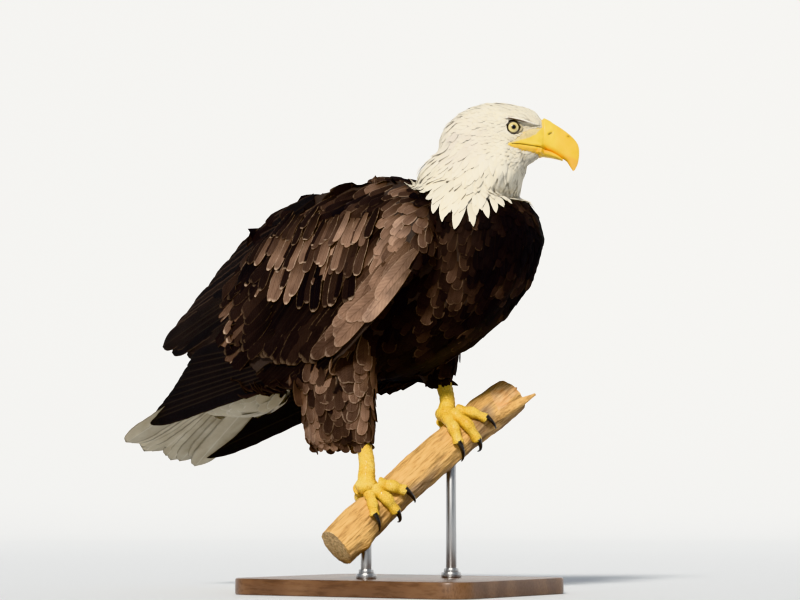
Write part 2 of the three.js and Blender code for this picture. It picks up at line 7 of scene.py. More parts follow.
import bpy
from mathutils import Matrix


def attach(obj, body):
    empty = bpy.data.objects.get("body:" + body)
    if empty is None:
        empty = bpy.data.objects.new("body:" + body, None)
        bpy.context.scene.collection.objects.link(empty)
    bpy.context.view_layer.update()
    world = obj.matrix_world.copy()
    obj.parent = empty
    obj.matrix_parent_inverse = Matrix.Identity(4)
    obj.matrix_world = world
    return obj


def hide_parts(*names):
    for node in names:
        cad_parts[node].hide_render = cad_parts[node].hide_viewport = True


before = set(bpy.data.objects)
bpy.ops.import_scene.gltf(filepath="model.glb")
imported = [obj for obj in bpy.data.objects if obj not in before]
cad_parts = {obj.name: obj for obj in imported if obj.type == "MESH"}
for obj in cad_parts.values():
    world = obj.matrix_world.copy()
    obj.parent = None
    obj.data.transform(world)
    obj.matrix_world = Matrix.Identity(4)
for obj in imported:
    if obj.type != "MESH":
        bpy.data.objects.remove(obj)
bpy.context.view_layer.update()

# %% Tools that the other cells share
import math
import random

import bmesh
import bpy
import numpy as np
from mathutils import Matrix, Vector, noise
from mathutils.bvhtree import BVHTree

MM = 0.001
rng = np.random.default_rng(7)
random.seed(7)


def vec(x, y, z):
    """A place given in millimetres, as metres."""
    return Vector((x, y, z)) * MM


def mix(a, b, t):
    return a + (b - a) * t


def smooth_step(low, high, x):
    t = np.clip((np.asarray(x, float) - low) / (high - low), 0, 1)
    return t * t * (3 - 2 * t)


def station(table, t):
    """One smooth row of a table of sizes, at t from 0 to 1."""
    last = len(table) - 1
    f = min(max(t, 0.0), 1.0) * last
    i = min(int(f), last - 1)
    u = f - i
    a, b, c, d = (np.array(table[k], float) for k in (max(i - 1, 0), i, i + 1, min(i + 2, last)))
    lead, trail = (c - a) / 2, (d - b) / 2
    return ((2 * u**3 - 3 * u**2 + 1) * b + (u**3 - 2 * u**2 + u) * lead
            + (3 * u**2 - 2 * u**3) * c + (u**3 - u**2) * trail)


# %% The head's own frame: forward, left and up, turned from the body
HEAD_ORIGIN = (154, 19.6, 569.5)
HEAD_TURN = math.radians(33)
head_forward = Vector((math.cos(HEAD_TURN), math.sin(HEAD_TURN), 0))
head_left = Vector((-head_forward.y, head_forward.x, 0))


def head_point(f, left, up):
    return vec(*HEAD_ORIGIN) + (head_forward * f + head_left * left + Vector((0, 0, up))) * MM


def head_way(f, left, up):
    return head_forward * f + head_left * left + Vector((0, 0, up))


def in_head(p):
    """Forward, left and up of a place, in the head's own frame, in millimetres."""
    q = (p - vec(*HEAD_ORIGIN)) / MM
    return q.dot(head_forward), q.dot(head_left), q.z


# %% [markdown]
# A tube, a bill or a claw is one sheet rolled up. A grid is the simplest start: each grid point knows
# where it is across and along, so a shape function can carry it to its place. Where the two long edges
# meet, or an end closes to a point, the doubles are merged, and the faces are turned outward.

# %% Roll a grid into a shape
def rolled(across, along, place, closed=True):
    bm = bmesh.new()
    bmesh.ops.create_grid(bm, x_segments=across, y_segments=along, size=1)
    for v in bm.verts:
        v.co = place((v.co.x + 1) / 2, (v.co.y + 1) / 2)
    if closed:
        bmesh.ops.remove_doubles(bm, verts=bm.verts, dist=2e-6)
        bmesh.ops.recalc_face_normals(bm, faces=bm.faces)
    return bm


def joined(*shapes):
    """One bmesh that holds several."""
    whole = bmesh.new()
    for shape in shapes:
        part = bpy.data.meshes.new("part")
        shape.to_mesh(part)
        shape.free()
        whole.from_mesh(part)
        bpy.data.meshes.remove(part)
    return whole


def piece(name, shape, material, replaced=(), flat_over=None):
    """Makes a finished object from a bmesh or a mesh, hangs it on the root body, and hides the solids that it replaces.
    """
    if isinstance(shape, bmesh.types.BMesh):
        mesh = bpy.data.meshes.new(name)
        shape.to_mesh(mesh)
        shape.free()
    else:
        mesh = shape
        mesh.name = name
    mesh.shade_smooth()
    if flat_over:
        mesh.set_sharp_from_angle(angle=math.radians(flat_over))
    mesh.materials.append(material)
    obj = bpy.data.objects.new(name, mesh)
    bpy.context.collection.objects.link(obj)
    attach(obj, "root")
    if replaced:
        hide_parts(*replaced)
    print(name, "faces", len(mesh.polygons))
    return obj


# %% Short ways to build a material
def add(tree, kind, wires=None, **settings):
    """Adds a shader node. Wires maps an input to a value, or to another node's output."""
    made = tree.nodes.new("ShaderNode" + kind)
    for key, value in settings.items():
        setattr(made, key, value)
    for key, value in (wires or {}).items():
        if isinstance(value, bpy.types.NodeSocket):
            tree.links.new(value, made.inputs[key])
        else:
            made.inputs[key].default_value = value
    return made


def ramp(tree, value, stops):
    """A colour ramp from (place, colour) pairs."""
    made = add(tree, "ValToRGB", {0: value})
    bands = made.color_ramp.elements
    while len(bands) < len(stops):
        bands.new(0.5)
    for band, (place, colour) in zip(bands, stops):
        band.position = place
        band.color = (*colour, 1) if len(colour) == 3 else colour
    return made.outputs[0]


def blended(tree, amount, a, b, kind="MIX"):
    """A mix of two colours."""
    made = add(tree, "Mix", data_type="RGBA", blend_type=kind)
    for socket, value in ((made.inputs[0], amount), (made.inputs[6], a), (made.inputs[7], b)):
        if isinstance(value, bpy.types.NodeSocket):
            tree.links.new(value, socket)
        else:
            socket.default_value = (*value, 1) if isinstance(value, tuple) and len(value) == 3 else value
    return made.outputs[2]


def maths(tree, operation, a, b=0.0, c=0.0):
    return add(tree, "Math", {0: a, 1: b, 2: c}, operation=operation).outputs[0]


def new_material(name, rough=0.6, **sockets):
    material = bpy.data.materials.new(name)
    material.use_nodes = True
    tree = material.node_tree
    shader = tree.nodes["Principled BSDF"]
    shader.inputs["Roughness"].default_value = rough
    for key, value in sockets.items():
        shader.inputs[key.replace("_", " ")].default_value = value
    return material, tree, shader


def wire(tree, source, shader, name):
    tree.links.new(source, shader.inputs[name])


def bump(tree, shader, height, distance, strength=1.0):
    made = add(tree, "Bump", {"Height": height, "Distance": distance, "Strength": strength})
    tree.links.new(made.outputs[0], shader.inputs["Normal"])


# %% Grain group: soft and fine noise in the object's own space
def grain_group():
    tree = bpy.data.node_groups.new("grain", "ShaderNodeTree")
    face = tree.interface
    face.new_socket("Scale", in_out="INPUT", socket_type="NodeSocketFloat").default_value = 60
    face.new_socket("Stretch", in_out="INPUT", socket_type="NodeSocketVector").default_value = (1, 1, 1)
    for name in ("Broad", "Fine"):
        face.new_socket(name, in_out="OUTPUT", socket_type="NodeSocketFloat")
    inside = tree.nodes.new("NodeGroupInput")
    out = tree.nodes.new("NodeGroupOutput")
    place = add(tree, "TexCoord").outputs["Object"]
    pulled = add(tree, "VectorMath", {0: place, 1: inside.outputs["Stretch"]}, operation="MULTIPLY").outputs[0]
    broad = add(tree, "TexNoise", {"Vector": pulled, "Scale": inside.outputs["Scale"], "Detail": 3.0})
    finer = maths(tree, "MULTIPLY", inside.outputs["Scale"], 6.0)
    fine = add(tree, "TexNoise", {"Vector": pulled, "Scale": finer, "Detail": 4.0, "Roughness": 0.6})
    tree.links.new(broad.outputs[0], out.inputs["Broad"])
    tree.links.new(fine.outputs[0], out.inputs["Fine"])
    return tree


GRAIN = grain_group()


def grain(tree, scale, stretch=(1, 1, 1)):
    made = tree.nodes.new("ShaderNodeGroup")
    made.node_tree = GRAIN
    made.inputs["Scale"].default_value = scale
    made.inputs["Stretch"].default_value = stretch
    return made.outputs["Broad"], made.outputs["Fine"]


# %% Vane group: shaft, barbs and pale fringe of one feather, from its own across and along
def vane_group():
    tree = bpy.data.node_groups.new("vane", "ShaderNodeTree")
    face = tree.interface
    for name, kind, value in (
            ("Vane", "NodeSocketVector", (0, 0, 0)), ("Tint", "NodeSocketColor", (0.1, 0.1, 0.1, 1)),
            ("Fringe Colour", "NodeSocketColor", (0.3, 0.2, 0.1, 1)), ("Fringe", "NodeSocketFloat", 0.5),
            ("Fringe Start", "NodeSocketFloat", 0.8), ("Shaft", "NodeSocketFloat", 0.4),
            ("Shaft Colour", "NodeSocketColor", (0.2, 0.15, 0.1, 1)), ("Barbs", "NodeSocketFloat", 60.0),
            ("Root Shade", "NodeSocketFloat", 0.5), ("Wander", "NodeSocketFloat", 0.16),
            ("Aspect", "NodeSocketFloat", 4.5), ("Barb Shade", "NodeSocketFloat", 0.07)):
        face.new_socket(name, in_out="INPUT", socket_type=kind).default_value = value
    face.new_socket("Colour", in_out="OUTPUT", socket_type="NodeSocketColor")
    face.new_socket("Height", in_out="OUTPUT", socket_type="NodeSocketFloat")
    inside = tree.nodes.new("NodeGroupInput")
    out = tree.nodes.new("NodeGroupOutput")
    parts = add(tree, "SeparateXYZ", {0: inside.outputs["Vane"]})
    u, v = parts.outputs[0], parts.outputs[1]
    away = maths(tree, "ABSOLUTE", maths(tree, "MULTIPLY_ADD", u, 2.0, -1.0))
    slant = maths(tree, "MULTIPLY_ADD", away, -0.22, v)
    ruffle = add(tree, "TexNoise", {"Vector": add(tree, "TexCoord").outputs["Object"],
                                    "Scale": 260.0, "Detail": 2.0}).outputs[0]
    slant_wavy = maths(tree, "MULTIPLY_ADD", ruffle, 0.05, slant)
    lines = maths(tree, "SINE", maths(tree, "MULTIPLY", slant_wavy, inside.outputs["Barbs"]))
    to_tip = maths(tree, "MULTIPLY", maths(tree, "SUBTRACT", 1.0, v), inside.outputs["Aspect"])
    edge = maths(tree, "MAXIMUM", away, maths(tree, "SUBTRACT", 1.0, to_tip))
    edge_wavy = maths(tree, "MULTIPLY_ADD", maths(tree, "SUBTRACT", ruffle, 0.5), inside.outputs["Wander"], edge)
    fringe = maths(tree, "MULTIPLY", add(tree, "MapRange", {
        "Value": edge_wavy, "From Min": inside.outputs["Fringe Start"], "From Max": 0.97},
        interpolation_type="SMOOTHSTEP").outputs[0], inside.outputs["Fringe"])
    shade = add(tree, "MapRange", {"Value": v, "From Min": 0.0, "From Max": 0.7,
                                   "To Min": inside.outputs["Root Shade"], "To Max": 1.0}).outputs[0]
    shaded = blended(tree, 1.0, inside.outputs["Tint"], add(tree, "CombineColor", {
        0: shade, 1: shade, 2: shade}).outputs[0], "MULTIPLY")
    fringed = blended(tree, fringe, shaded, inside.outputs["Fringe Colour"])
    barb_shade = inside.outputs["Barb Shade"]
    barbed = blended(tree, maths(tree, "MULTIPLY_ADD", lines, barb_shade, barb_shade), fringed, (0.0, 0.0, 0.0))
    rib = maths(tree, "LESS_THAN", away, 0.05)
    shafted = blended(tree, maths(tree, "MULTIPLY", rib, inside.outputs["Shaft"]), barbed,
                      inside.outputs["Shaft Colour"])
    tree.links.new(shafted, out.inputs["Colour"])
    tree.links.new(maths(tree, "MULTIPLY_ADD", rib, 2.0, lines), out.inputs["Height"])
    return tree


VANE = vane_group()


def feather_material(name, rough, fringe_colour, fringe, start=0.78, shaft=0.35,
                     shaft_colour=(0.2, 0.15, 0.1), barbs=70.0, root_shade=0.55, deep=0.00012, wander=0.16,
                     aspect=4.5, barb_shade=0.07, worn=((0.72, 0.72, 0.74), (1.2, 1.18, 1.14)), **sockets):
    material, tree, shader = new_material(name, rough, **sockets)
    vane = tree.nodes.new("ShaderNodeGroup")
    vane.node_tree = VANE
    tree.links.new(add(tree, "UVMap", uv_map="vane").outputs[0], vane.inputs["Vane"])
    paint = add(tree, "Attribute", attribute_name="tint")
    tint = paint.outputs["Color"]
    broad, fine = grain(tree, 45)
    weathered = blended(tree, 1.0, tint, ramp(tree, broad, [(0.3, worn[0]), (0.7, worn[1])]), "MULTIPLY")
    tree.links.new(weathered, vane.inputs["Tint"])
    vane.inputs["Fringe Colour"].default_value = (*fringe_colour, 1)
    tree.links.new(maths(tree, "MULTIPLY", paint.outputs["Alpha"], fringe), vane.inputs["Fringe"])
    vane.inputs["Fringe Start"].default_value = start
    vane.inputs["Shaft"].default_value = shaft
    vane.inputs["Shaft Colour"].default_value = (*shaft_colour, 1)
    vane.inputs["Barbs"].default_value = barbs
    vane.inputs["Root Shade"].default_value = root_shade
    vane.inputs["Wander"].default_value = wander
    vane.inputs["Aspect"].default_value = aspect
    vane.inputs["Barb Shade"].default_value = barb_shade
    wire(tree, vane.outputs["Colour"], shader, "Base Color")
    bump(tree, shader, vane.outputs["Height"], deep, 0.6)
    return material


WHITE = (0.84, 0.785, 0.665)
WHITE_FEATHERS = feather_material("white feathers", 0.62, (0.95, 0.93, 0.88), 0.4, shaft=0.06,
                                  shaft_colour=(0.72, 0.66, 0.54), root_shade=0.86, barb_shade=0.025, deep=0.00006,
                                  worn=((0.93, 0.92, 0.90), (1.04, 1.04, 1.03)), Sheen_Weight=0.1)
BROWN_FEATHERS = feather_material("brown feathers", 0.72, (0.56, 0.40, 0.29), 0.8, start=0.70, shaft=0.3,
                                  shaft_colour=(0.02, 0.014, 0.012), root_shade=0.35, wander=0.34,
                                  Specular_IOR_Level=0.12)
FLIGHT_FEATHERS = feather_material("flight feathers", 0.62, (0.10, 0.070, 0.056), 0.5, start=0.84, shaft=0.4,
                                   shaft_colour=(0.035, 0.027, 0.022), barbs=420.0, root_shade=0.8, aspect=12.0, Specular_IOR_Level=0.2)

# %% [markdown]
# The skin. On the living bird the skin can't be seen, yet the coat takes its shape from it. The solids of
# head, neck, trunk, thighs, tail coverts and wings are joined and remeshed into one surface, so no seam
# shows between them. It is then drawn in by the depth of the coat and smoothed.

# %% One skin under the whole coat
FLESH = ("head", "neck", "trunk", "tail_coverts", "thigh_right", "thigh_left", "wing_right", "wing_left")
VOXEL = 0.0032
WING_TRIM = -0.205
BILL_COVER = {"bill_upper": 36.5, "bill_lower": 29}


def copied(node):
    bm = bmesh.new()
    bm.from_mesh(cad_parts[node].data)
    bmesh.ops.remove_doubles(bm, verts=bm.verts, dist=1e-6)
    return bm


def trimmed(node):
    bm = copied(node)
    if node.startswith("wing"):
        whole = bm.verts[:] + bm.edges[:] + bm.faces[:]
        bmesh.ops.bisect_plane(bm, geom=whole, plane_co=(WING_TRIM, 0, 0), plane_no=(1, 0, 0), clear_inner=True)
        rims = [e for e in bm.edges if e.is_boundary]
        bmesh.ops.holes_fill(bm, edges=rims, sides=0)
    return bm


def bill_root(node, reach):
    """The root of the upper or lower bill, which the feathered skin covers."""
    bm = copied(node)
    whole = bm.verts[:] + bm.edges[:] + bm.faces[:]
    bmesh.ops.bisect_plane(bm, geom=whole, plane_co=head_point(reach, 0, 0), plane_no=head_forward,
                           clear_outer=True)
    bmesh.ops.holes_fill(bm, edges=[e for e in bm.edges if e.is_boundary], sides=0)
    return bm


node_trees = {node: BVHTree.FromBMesh(copied(node)) for node in FLESH}
shape = joined(*[bill_root(*item) for item in BILL_COVER.items()], *[trimmed(node) for node in FLESH])
skin_mesh = bpy.data.meshes.new("skin")
shape.to_mesh(skin_mesh)
shape.free()
skin = bpy.data.objects.new("skin", skin_mesh)
bpy.context.collection.objects.link(skin)
bpy.context.view_layer.objects.active = skin
skin.select_set(True)
skin_mesh.remesh_voxel_size = VOXEL
bpy.ops.object.voxel_remesh()
skin_mesh = skin.data


def vertex_arrays(mesh):
    co = np.zeros(len(mesh.vertices) * 3)
    mesh.vertices.foreach_get("co", co)
    no = np.zeros(len(mesh.vertices) * 3)
    mesh.vertices.foreach_get("normal", no)
    return co.reshape(-1, 3), no.reshape(-1, 3)


COAT_DEPTH = {"head": 1.6, "neck": 4.0, "trunk": 5.0, "tail_coverts": 3.5, "thigh_right": 4.0, "thigh_left": 4.0,
              "wing_right": 3.5, "wing_left": 3.5}


def nearest_nodes(points):
    """The index in FLESH of the solid nearest to each point."""
    best = np.full(len(points), 1e9)
    which = np.zeros(len(points), int)
    for k, node in enumerate(FLESH):
        tree = node_trees[node]
        far = np.array([tree.find_nearest(p)[3] for p in points])
        closer = far < best
        best[closer], which[closer] = far[closer], k
    return which


co, no = vertex_arrays(skin_mesh)
skin_home = nearest_nodes(co.tolist())
edges = np.zeros(len(skin_mesh.edges) * 2, int)
skin_mesh.edges.foreach_get("vertices", edges)
edges = edges.reshape(-1, 2)
degree = np.bincount(edges.ravel(), minlength=len(co)).clip(1)


def eased(values, rounds):
    """Evens out values over the skin's neighbours."""
    values = values.copy()
    for _ in range(rounds):
        total = np.zeros_like(values)
        np.add.at(total, edges[:, 0], values[edges[:, 1]])
        np.add.at(total, edges[:, 1], values[edges[:, 0]])
        shape_of = (-1,) + (1,) * (values.ndim - 1)
        values = 0.5 * values + 0.5 * total / degree.reshape(shape_of)
    return values


def evened(points, rounds):
    """Smooths a shape and gives back the size that plain easing takes from it."""
    for _ in range(rounds):
        points = eased(points, 1)
        points -= 1.04 * (eased(points, 1) - points)
    return points


BROW_PATH = [(-17, 25.5, 10.5, 0.4), (-9, 29.6, 10.0, 1.7), (0, 30.6, 8.6, 2.2), (9, 29.0, 6.6, 2.2),
             (17, 25.6, 4.8, 1.9), (24, 21.4, 3.4, 1.4), (30, 17.6, 2.6, 0.4)]
BROW_SWELL, BROW_REACH = 2.0, 5.0
depth = eased(np.array([COAT_DEPTH[n] for n in FLESH])[skin_home] * MM, 12)
co = evened(co, 5)
inward = eased(no, 3)
inward /= np.linalg.norm(inward, axis=1, keepdims=True)
co -= inward * depth[:, None]
swell = np.zeros(len(co))
for k in range(25):
    f, out, up, _ = station(BROW_PATH, k / 24)
    for side in (-1, 1):
        away = np.linalg.norm(co - np.array(head_point(f, side * out, up + 3.4)), axis=1) / (BROW_REACH * MM)
        swell = np.maximum(swell, np.exp(-away**2))
co += inward * (swell * BROW_SWELL * MM)[:, None]
co = evened(co, 2)
skin_mesh.vertices.foreach_set("co", co.ravel())
skin_mesh.update()
print("skin vertices", len(co))

# %% Unwrap the skin on its own shape
bpy.ops.object.mode_set(mode="EDIT")
bpy.ops.mesh.select_all(action="SELECT")
bpy.ops.uv.smart_project(angle_limit=math.radians(66), island_margin=0.002)
bpy.ops.object.mode_set(mode="OBJECT")
skin_mesh.uv_layers[0].name = "OFBake"

# %% [markdown]
# The lie of the coat. Feathers point away from the bill and down the body, and each part has its own
# length and width. A few guides say so at chosen places, and every other place takes a blend of the
# guides near it, as a comb-through would give. A guide is: place, direction, length, width, spacing.

# %% Guides for each region, in millimetres
HEAD_GUIDES = [
    ((36, 0, 12), (-0.6, 0, 0.8), 6, 2.2, 1.5), ((30, 0, 18), (-0.8, 0, 0.6), 6.5, 2.6, 1.7),
    ((20, 0, 25), (-0.95, 0, 0.3), 7.5, 3.2, 2.1), ((33, 11, 6), (-0.8, 0.1, 0.5), 5, 2.0, 1.5),
    ((0, 0, 28), (-1, 0, 0.1), 8, 4, 2.5), ((-25, 0, 30), (-1, 0, -0.1), 11, 5, 3.1),
    ((-50, 0, 26), (-0.9, 0, -0.4), 14, 6, 3.8), ((-72, 0, 10), (-0.6, 0, -0.8), 18, 6.5, 4.4),
    ((-85, 0, -20), (-0.35, 0, -0.95), 22, 7, 4.8), ((-80, 0, -45), (-0.3, 0, -1), 24, 7, 5),
    ((28, 17, 5), (-0.9, 0.2, 0.35), 4, 1.6, 1.5), ((20, 22, -4), (-0.95, 0.2, -0.1), 4.5, 1.8, 1.6),
    ((8, 27, 4), (-1, 0.1, 0.1), 4.5, 2.2, 1.6), ((10, 26, -16), (-0.9, 0.15, -0.35), 6, 2.8, 2.0),
    ((25, 20, -18), (-0.9, 0.3, -0.3), 5, 2.4, 1.8), ((-6, 30, -20), (-0.85, 0.1, -0.5), 7, 3.6, 2.4),
    ((-20, 36, 0), (-1, 0, -0.15), 8, 4.2, 2.7), ((-20, 30, 22), (-1, 0.1, -0.1), 9, 4.6, 2.9),
    ((-25, 38, -24), (-0.8, 0, -0.6), 10, 5, 3.1), ((-48, 38, -8), (-0.9, 0, -0.5), 13, 5.6, 3.6),
    ((-45, 36, -36), (-0.6, 0, -0.8), 14, 5.8, 3.8), ((-70, 30, -30), (-0.45, -0.1, -0.9), 19, 6.4, 4.4),
    ((24, 8, -40), (-0.9, 0.2, -0.3), 6, 3, 2.0), ((5, 12, -48), (-0.8, 0.2, -0.6), 8, 4, 2.6),
    ((-10, 26, -44), (-0.65, 0.1, -0.75), 10, 4.8, 3.0), ((-25, 20, -58), (-0.45, 0.1, -0.9), 14, 5.6, 3.8),
]
NECK_GUIDES = [
    ((168, 10, 520), (-0.12, 0.0, -1), 20, 8, 5.0), ((170, 5, 490), (-0.1, 0, -1), 20, 8, 5.2),
    ((130, -62, 520), (-0.25, -0.15, -1), 26, 8.6, 5.2), ((125, -75, 480), (-0.15, -0.2, -1), 33, 9.6, 5.8),
    ((85, -60, 520), (-0.4, -0.1, -0.9), 28, 9, 5.4), ((80, -75, 485), (-0.4, -0.25, -0.9), 33, 9.6, 5.8),
    ((55, -20, 540), (-0.5, 0, -0.86), 30, 9, 5.4), ((50, -30, 500), (-0.75, -0.1, -0.65), 34, 9.6, 5.8),
]
BODY_GUIDES = [
    ((40, 0, 540), (-0.93, 0, -0.35), 34, 18, 11), ((-20, 0, 515), (-0.98, 0, -0.2), 40, 24, 13),
    ((-90, 0, 500), (-0.97, 0, -0.28), 46, 28, 14), ((-160, 0, 455), (-0.88, 0, -0.5), 50, 28, 15),
    ((-215, 0, 380), (-0.8, 0, -0.6), 48, 26, 14), ((165, -20, 470), (-0.1, 0, -1), 22, 11, 7),
    ((180, 0, 420), (-0.2, 0, -1), 24, 12.5, 7.6), ((140, -80, 450), (-0.2, 0, -1), 23, 11.5, 7.2),
    ((120, -90, 400), (-0.35, 0, -0.95), 26, 13, 8), ((160, -30, 370), (-0.35, 0, -0.93), 27, 14, 8.5),
    ((110, 0, 300), (-0.7, 0, -0.7), 32, 18, 11), ((60, -80, 330), (-0.5, 0, -0.85), 32, 18, 11),
    ((30, 0, 270), (-0.9, 0, -0.4), 34, 18, 11), ((-60, 0, 250), (-0.97, 0, -0.2), 34, 18, 11),
    ((-60, -80, 300), (-0.8, 0, -0.6), 34, 18, 11), ((-150, 0, 260), (-0.95, 0, -0.3), 34, 18, 11),
    ((-200, -30, 300), (-0.85, 0, -0.5), 40, 20, 12),
]
WING_GUIDES = [
    ((112, -105, 440), (-0.45, 0, -0.88), 19, 13, 8), ((98, -96, 476), (-0.75, 0, -0.62), 21, 14, 8.5),
    ((72, -90, 493), (-0.9, 0, -0.4), 26, 17, 10), ((30, -80, 505), (-0.95, 0, -0.3), 34, 21, 12),
    ((-30, -60, 508), (-0.97, 0, -0.25), 42, 25, 13), ((-90, -50, 500), (-0.95, 0, -0.35), 48, 27, 14),
    ((-150, -45, 480), (-0.86, 0, -0.52), 52, 28, 15), ((-195, -40, 450), (-0.8, 0, -0.6), 52, 28, 15),
    ((85, -125, 450), (-0.6, 0, -0.8), 24, 15, 9), ((50, -120, 465), (-0.7, 0, -0.7), 30, 18, 10.5),
    ((0, -110, 465), (-0.62, 0, -0.78), 34, 20, 11.5), ((-60, -90, 460), (-0.55, 0, -0.83), 42, 20, 12),
    ((-120, -80, 440), (-0.5, 0, -0.86), 46, 20, 12.5), ((60, -140, 420), (-0.5, 0, -0.86), 34, 20, 11),
    ((10, -145, 410), (-0.36, 0, -0.93), 42, 20, 12), ((-50, -135, 400), (-0.32, 0, -0.95), 52, 20, 13),
    ((-110, -120, 390), (-0.36, 0, -0.93), 52, 20, 13), ((-170, -90, 380), (-0.55, 0, -0.83), 50, 21, 13),
    ((100, -128, 400), (-0.62, 0, -0.78), 24, 16, 9), ((60, -140, 370), (-0.72, 0, -0.7), 40, 22, 12),
    ((20, -150, 350), (-0.7, 0, -0.72), 52, 24, 14), ((-40, -140, 330), (-0.62, 0, -0.78), 60, 24, 15),
    ((-110, -120, 320), (-0.62, 0, -0.78), 62, 24, 15), ((-170, -100, 320), (-0.72, 0, -0.7), 60, 24, 15),
    ((40, -125, 325), (-0.78, 0, -0.62), 60, 26, 15), ((-20, -120, 290), (-0.82, 0, -0.57), 66, 26, 16),
]
THIGH_RIGHT_GUIDES = [
    ((-10, -90, 320), (-0.3, 0, -0.95), 34, 19, 10.5), ((-50, -120, 290), (-0.2, 0, -1), 34, 18, 10),
    ((-50, -110, 230), (-0.12, 0, -1), 32, 15, 8.5), ((-10, -65, 250), (0.05, 0, -1), 28, 15, 8.5),
    ((-95, -65, 240), (-0.25, 0, -0.97), 36, 17, 9.5), ((-45, -65, 195), (0.05, 0, -1), 26, 11, 6.5),
    ((-50, -20, 250), (-0.1, 0, -1), 30, 17, 10),
]
THIGH_LEFT_GUIDES = [
    ((30, 100, 330), (-0.1, 0, -1), 32, 18, 10), ((40, 60, 300), (0.1, 0, -1), 28, 15, 9),
    ((20, 62, 262), (0.2, 0, -1), 24, 12, 7), ((-30, 62, 290), (0.2, 0, -1), 32, 16, 9.5),
]
COVERT_GUIDES = [
    ((-230, 0, 330), (-0.85, 0, -0.53), 42, 20, 11), ((-290, 0, 270), (-0.85, 0, -0.53), 40, 18, 10),
    ((-240, 0, 230), (-0.88, 0, -0.45), 42, 18, 10), ((-200, -40, 280), (-0.85, 0, -0.5), 42, 19, 11),
]


def guide_rows(guides, both=True, framed=False):
    """Guides as arrays, mirrored to the other side where both sides have them."""
    rows = []
    for place, way, *sizes in guides:
        for side in ((1, -1) if both else (1,)):
            if framed:
                p = head_point(place[0], side * place[1], place[2])
                d = head_way(way[0], side * way[1], way[2])
            else:
                p = vec(place[0], side * place[1], place[2])
                d = Vector((way[0], side * way[1], way[2]))
            rows.append((*p, *d.normalized(), *(s * MM for s in sizes)))
    return np.array(rows)


REGIONS = {
    "head": guide_rows(HEAD_GUIDES, framed=True),
    "neck": guide_rows(NECK_GUIDES),
    "trunk": guide_rows(BODY_GUIDES),
    "tail_coverts": guide_rows(COVERT_GUIDES),
    "thigh_right": guide_rows(THIGH_RIGHT_GUIDES, both=False),
    "thigh_left": guide_rows(THIGH_LEFT_GUIDES, both=False),
    "wing_right": guide_rows(WING_GUIDES),
    "wing_left": guide_rows(WING_GUIDES),
}


def combed(points, guides):
    """Direction, length, width and spacing at each point, blended from the guides."""
    gap = np.linalg.norm(points[:, None] - guides[None, :, :3], axis=2)
    weight = 1 / (gap**2 + 0.006**2) ** 1.5
    weight /= weight.sum(1, keepdims=True)
    values = weight @ guides[:, 3:]
    way = values[:, :3] / np.linalg.norm(values[:, :3], axis=1, keepdims=True)
    return way, values[:, 3], values[:, 4], values[:, 5]


# %% [markdown]
# Roots. A coat looks grown when its feathers are evenly but not regularly spaced. Darts are thrown at
# the skin, and one is kept only where no other root is nearer than the spacing of that place. Places
# that nothing outside can see, such as between the wing and the flank, get none.

# %% Throw the roots onto the skin
skin_mesh.calc_loop_triangles()
tri = np.zeros(len(skin_mesh.loop_triangles) * 3, int)
skin_mesh.loop_triangles.foreach_get("vertices", tri)
tri = tri.reshape(-1, 3)
tri_loops = np.zeros(len(tri) * 3, int)
skin_mesh.loop_triangles.foreach_get("loops", tri_loops)
tri_loops = tri_loops.reshape(-1, 3)
co, no = vertex_arrays(skin_mesh)
no = eased(no, 4)
no /= np.linalg.norm(no, axis=1, keepdims=True)
uv = np.zeros(len(skin_mesh.loops) * 2)
skin_mesh.uv_layers["OFBake"].uv.foreach_get("vector", uv)
uv = uv.reshape(-1, 2)
corners = co[tri]
tri_area = np.linalg.norm(np.cross(corners[:, 1] - corners[:, 0], corners[:, 2] - corners[:, 0]), axis=1) / 2
tri_middle = corners.mean(1)
tri_normal = no[tri].mean(1)
tri_normal /= np.linalg.norm(tri_normal, axis=1, keepdims=True)
tri_home = nearest_nodes(tri_middle.tolist())
COLLAR = np.array([(30, 520), (56, 508), (94, 496), (119, 478), (143, 466), (160, 478), (175, 491), (195, 500)])
THROAT_RISE = 13


def collared(home, places):
    """Homes of places, with the white neck and the brown breast parted along the collar."""
    line = np.interp(places[:, 0], COLLAR[:, 0] * MM, COLLAR[:, 1] * MM)
    line += (THROAT_RISE * MM * smooth_step(-0.034, -0.008, places[:, 1])
             * smooth_step(0.135, 0.165, places[:, 0]))
    throat = np.isin(home, [FLESH.index("neck"), FLESH.index("trunk")]) & (places[:, 0] > 0.03)
    return np.where(throat, np.where(places[:, 2] > line, FLESH.index("neck"), FLESH.index("trunk")), home)


tri_home = collared(tri_home, tri_middle)
skin_tree = BVHTree.FromPolygons(co.tolist(), tri.tolist())
tri_normal_list = [Vector(n) for n in tri_normal]

OPEN_REACH = 0.045
bare_spots = []
WING_EDGE_FOOT, WING_EDGE_WAY = np.array((112, 392)), np.array((-0.792, -0.610))
PRIMARY_COVERT_BAND = 33


# outline of the bare skin between eye, mouth and bill, in the head's frame
FACE_FORE = (-9, -2, 6, 14, 24, 34, 38.6)
FACE_TOP = (-20.5, -17.5, -11.5, -4.5, -1.0, -0.5, -0.5)
FACE_BOTTOM = (-25.5, -28.0, -29.5, -30.5, -32.0, -33.0, -33.5)


def on_face(f, up, inset):
    return (FACE_FORE[0] + inset < f and float(np.interp(f, FACE_FORE, FACE_BOTTOM)) + inset < up
            < float(np.interp(f, FACE_FORE, FACE_TOP)) - inset)


def edge_height(x, z):
    """How far above the wing's front lower edge a place lies, in millimetres."""
    dx, dz = x - WING_EDGE_FOOT[0], z - WING_EDGE_FOOT[1]
    return dx * WING_EDGE_WAY[1] - dz * WING_EDGE_WAY[0]


def hem_height(x):
    """Height of the tips of the hanging coverts at a place along the wing."""
    return 350 + 0.2 * max(0.0, -38 - x)


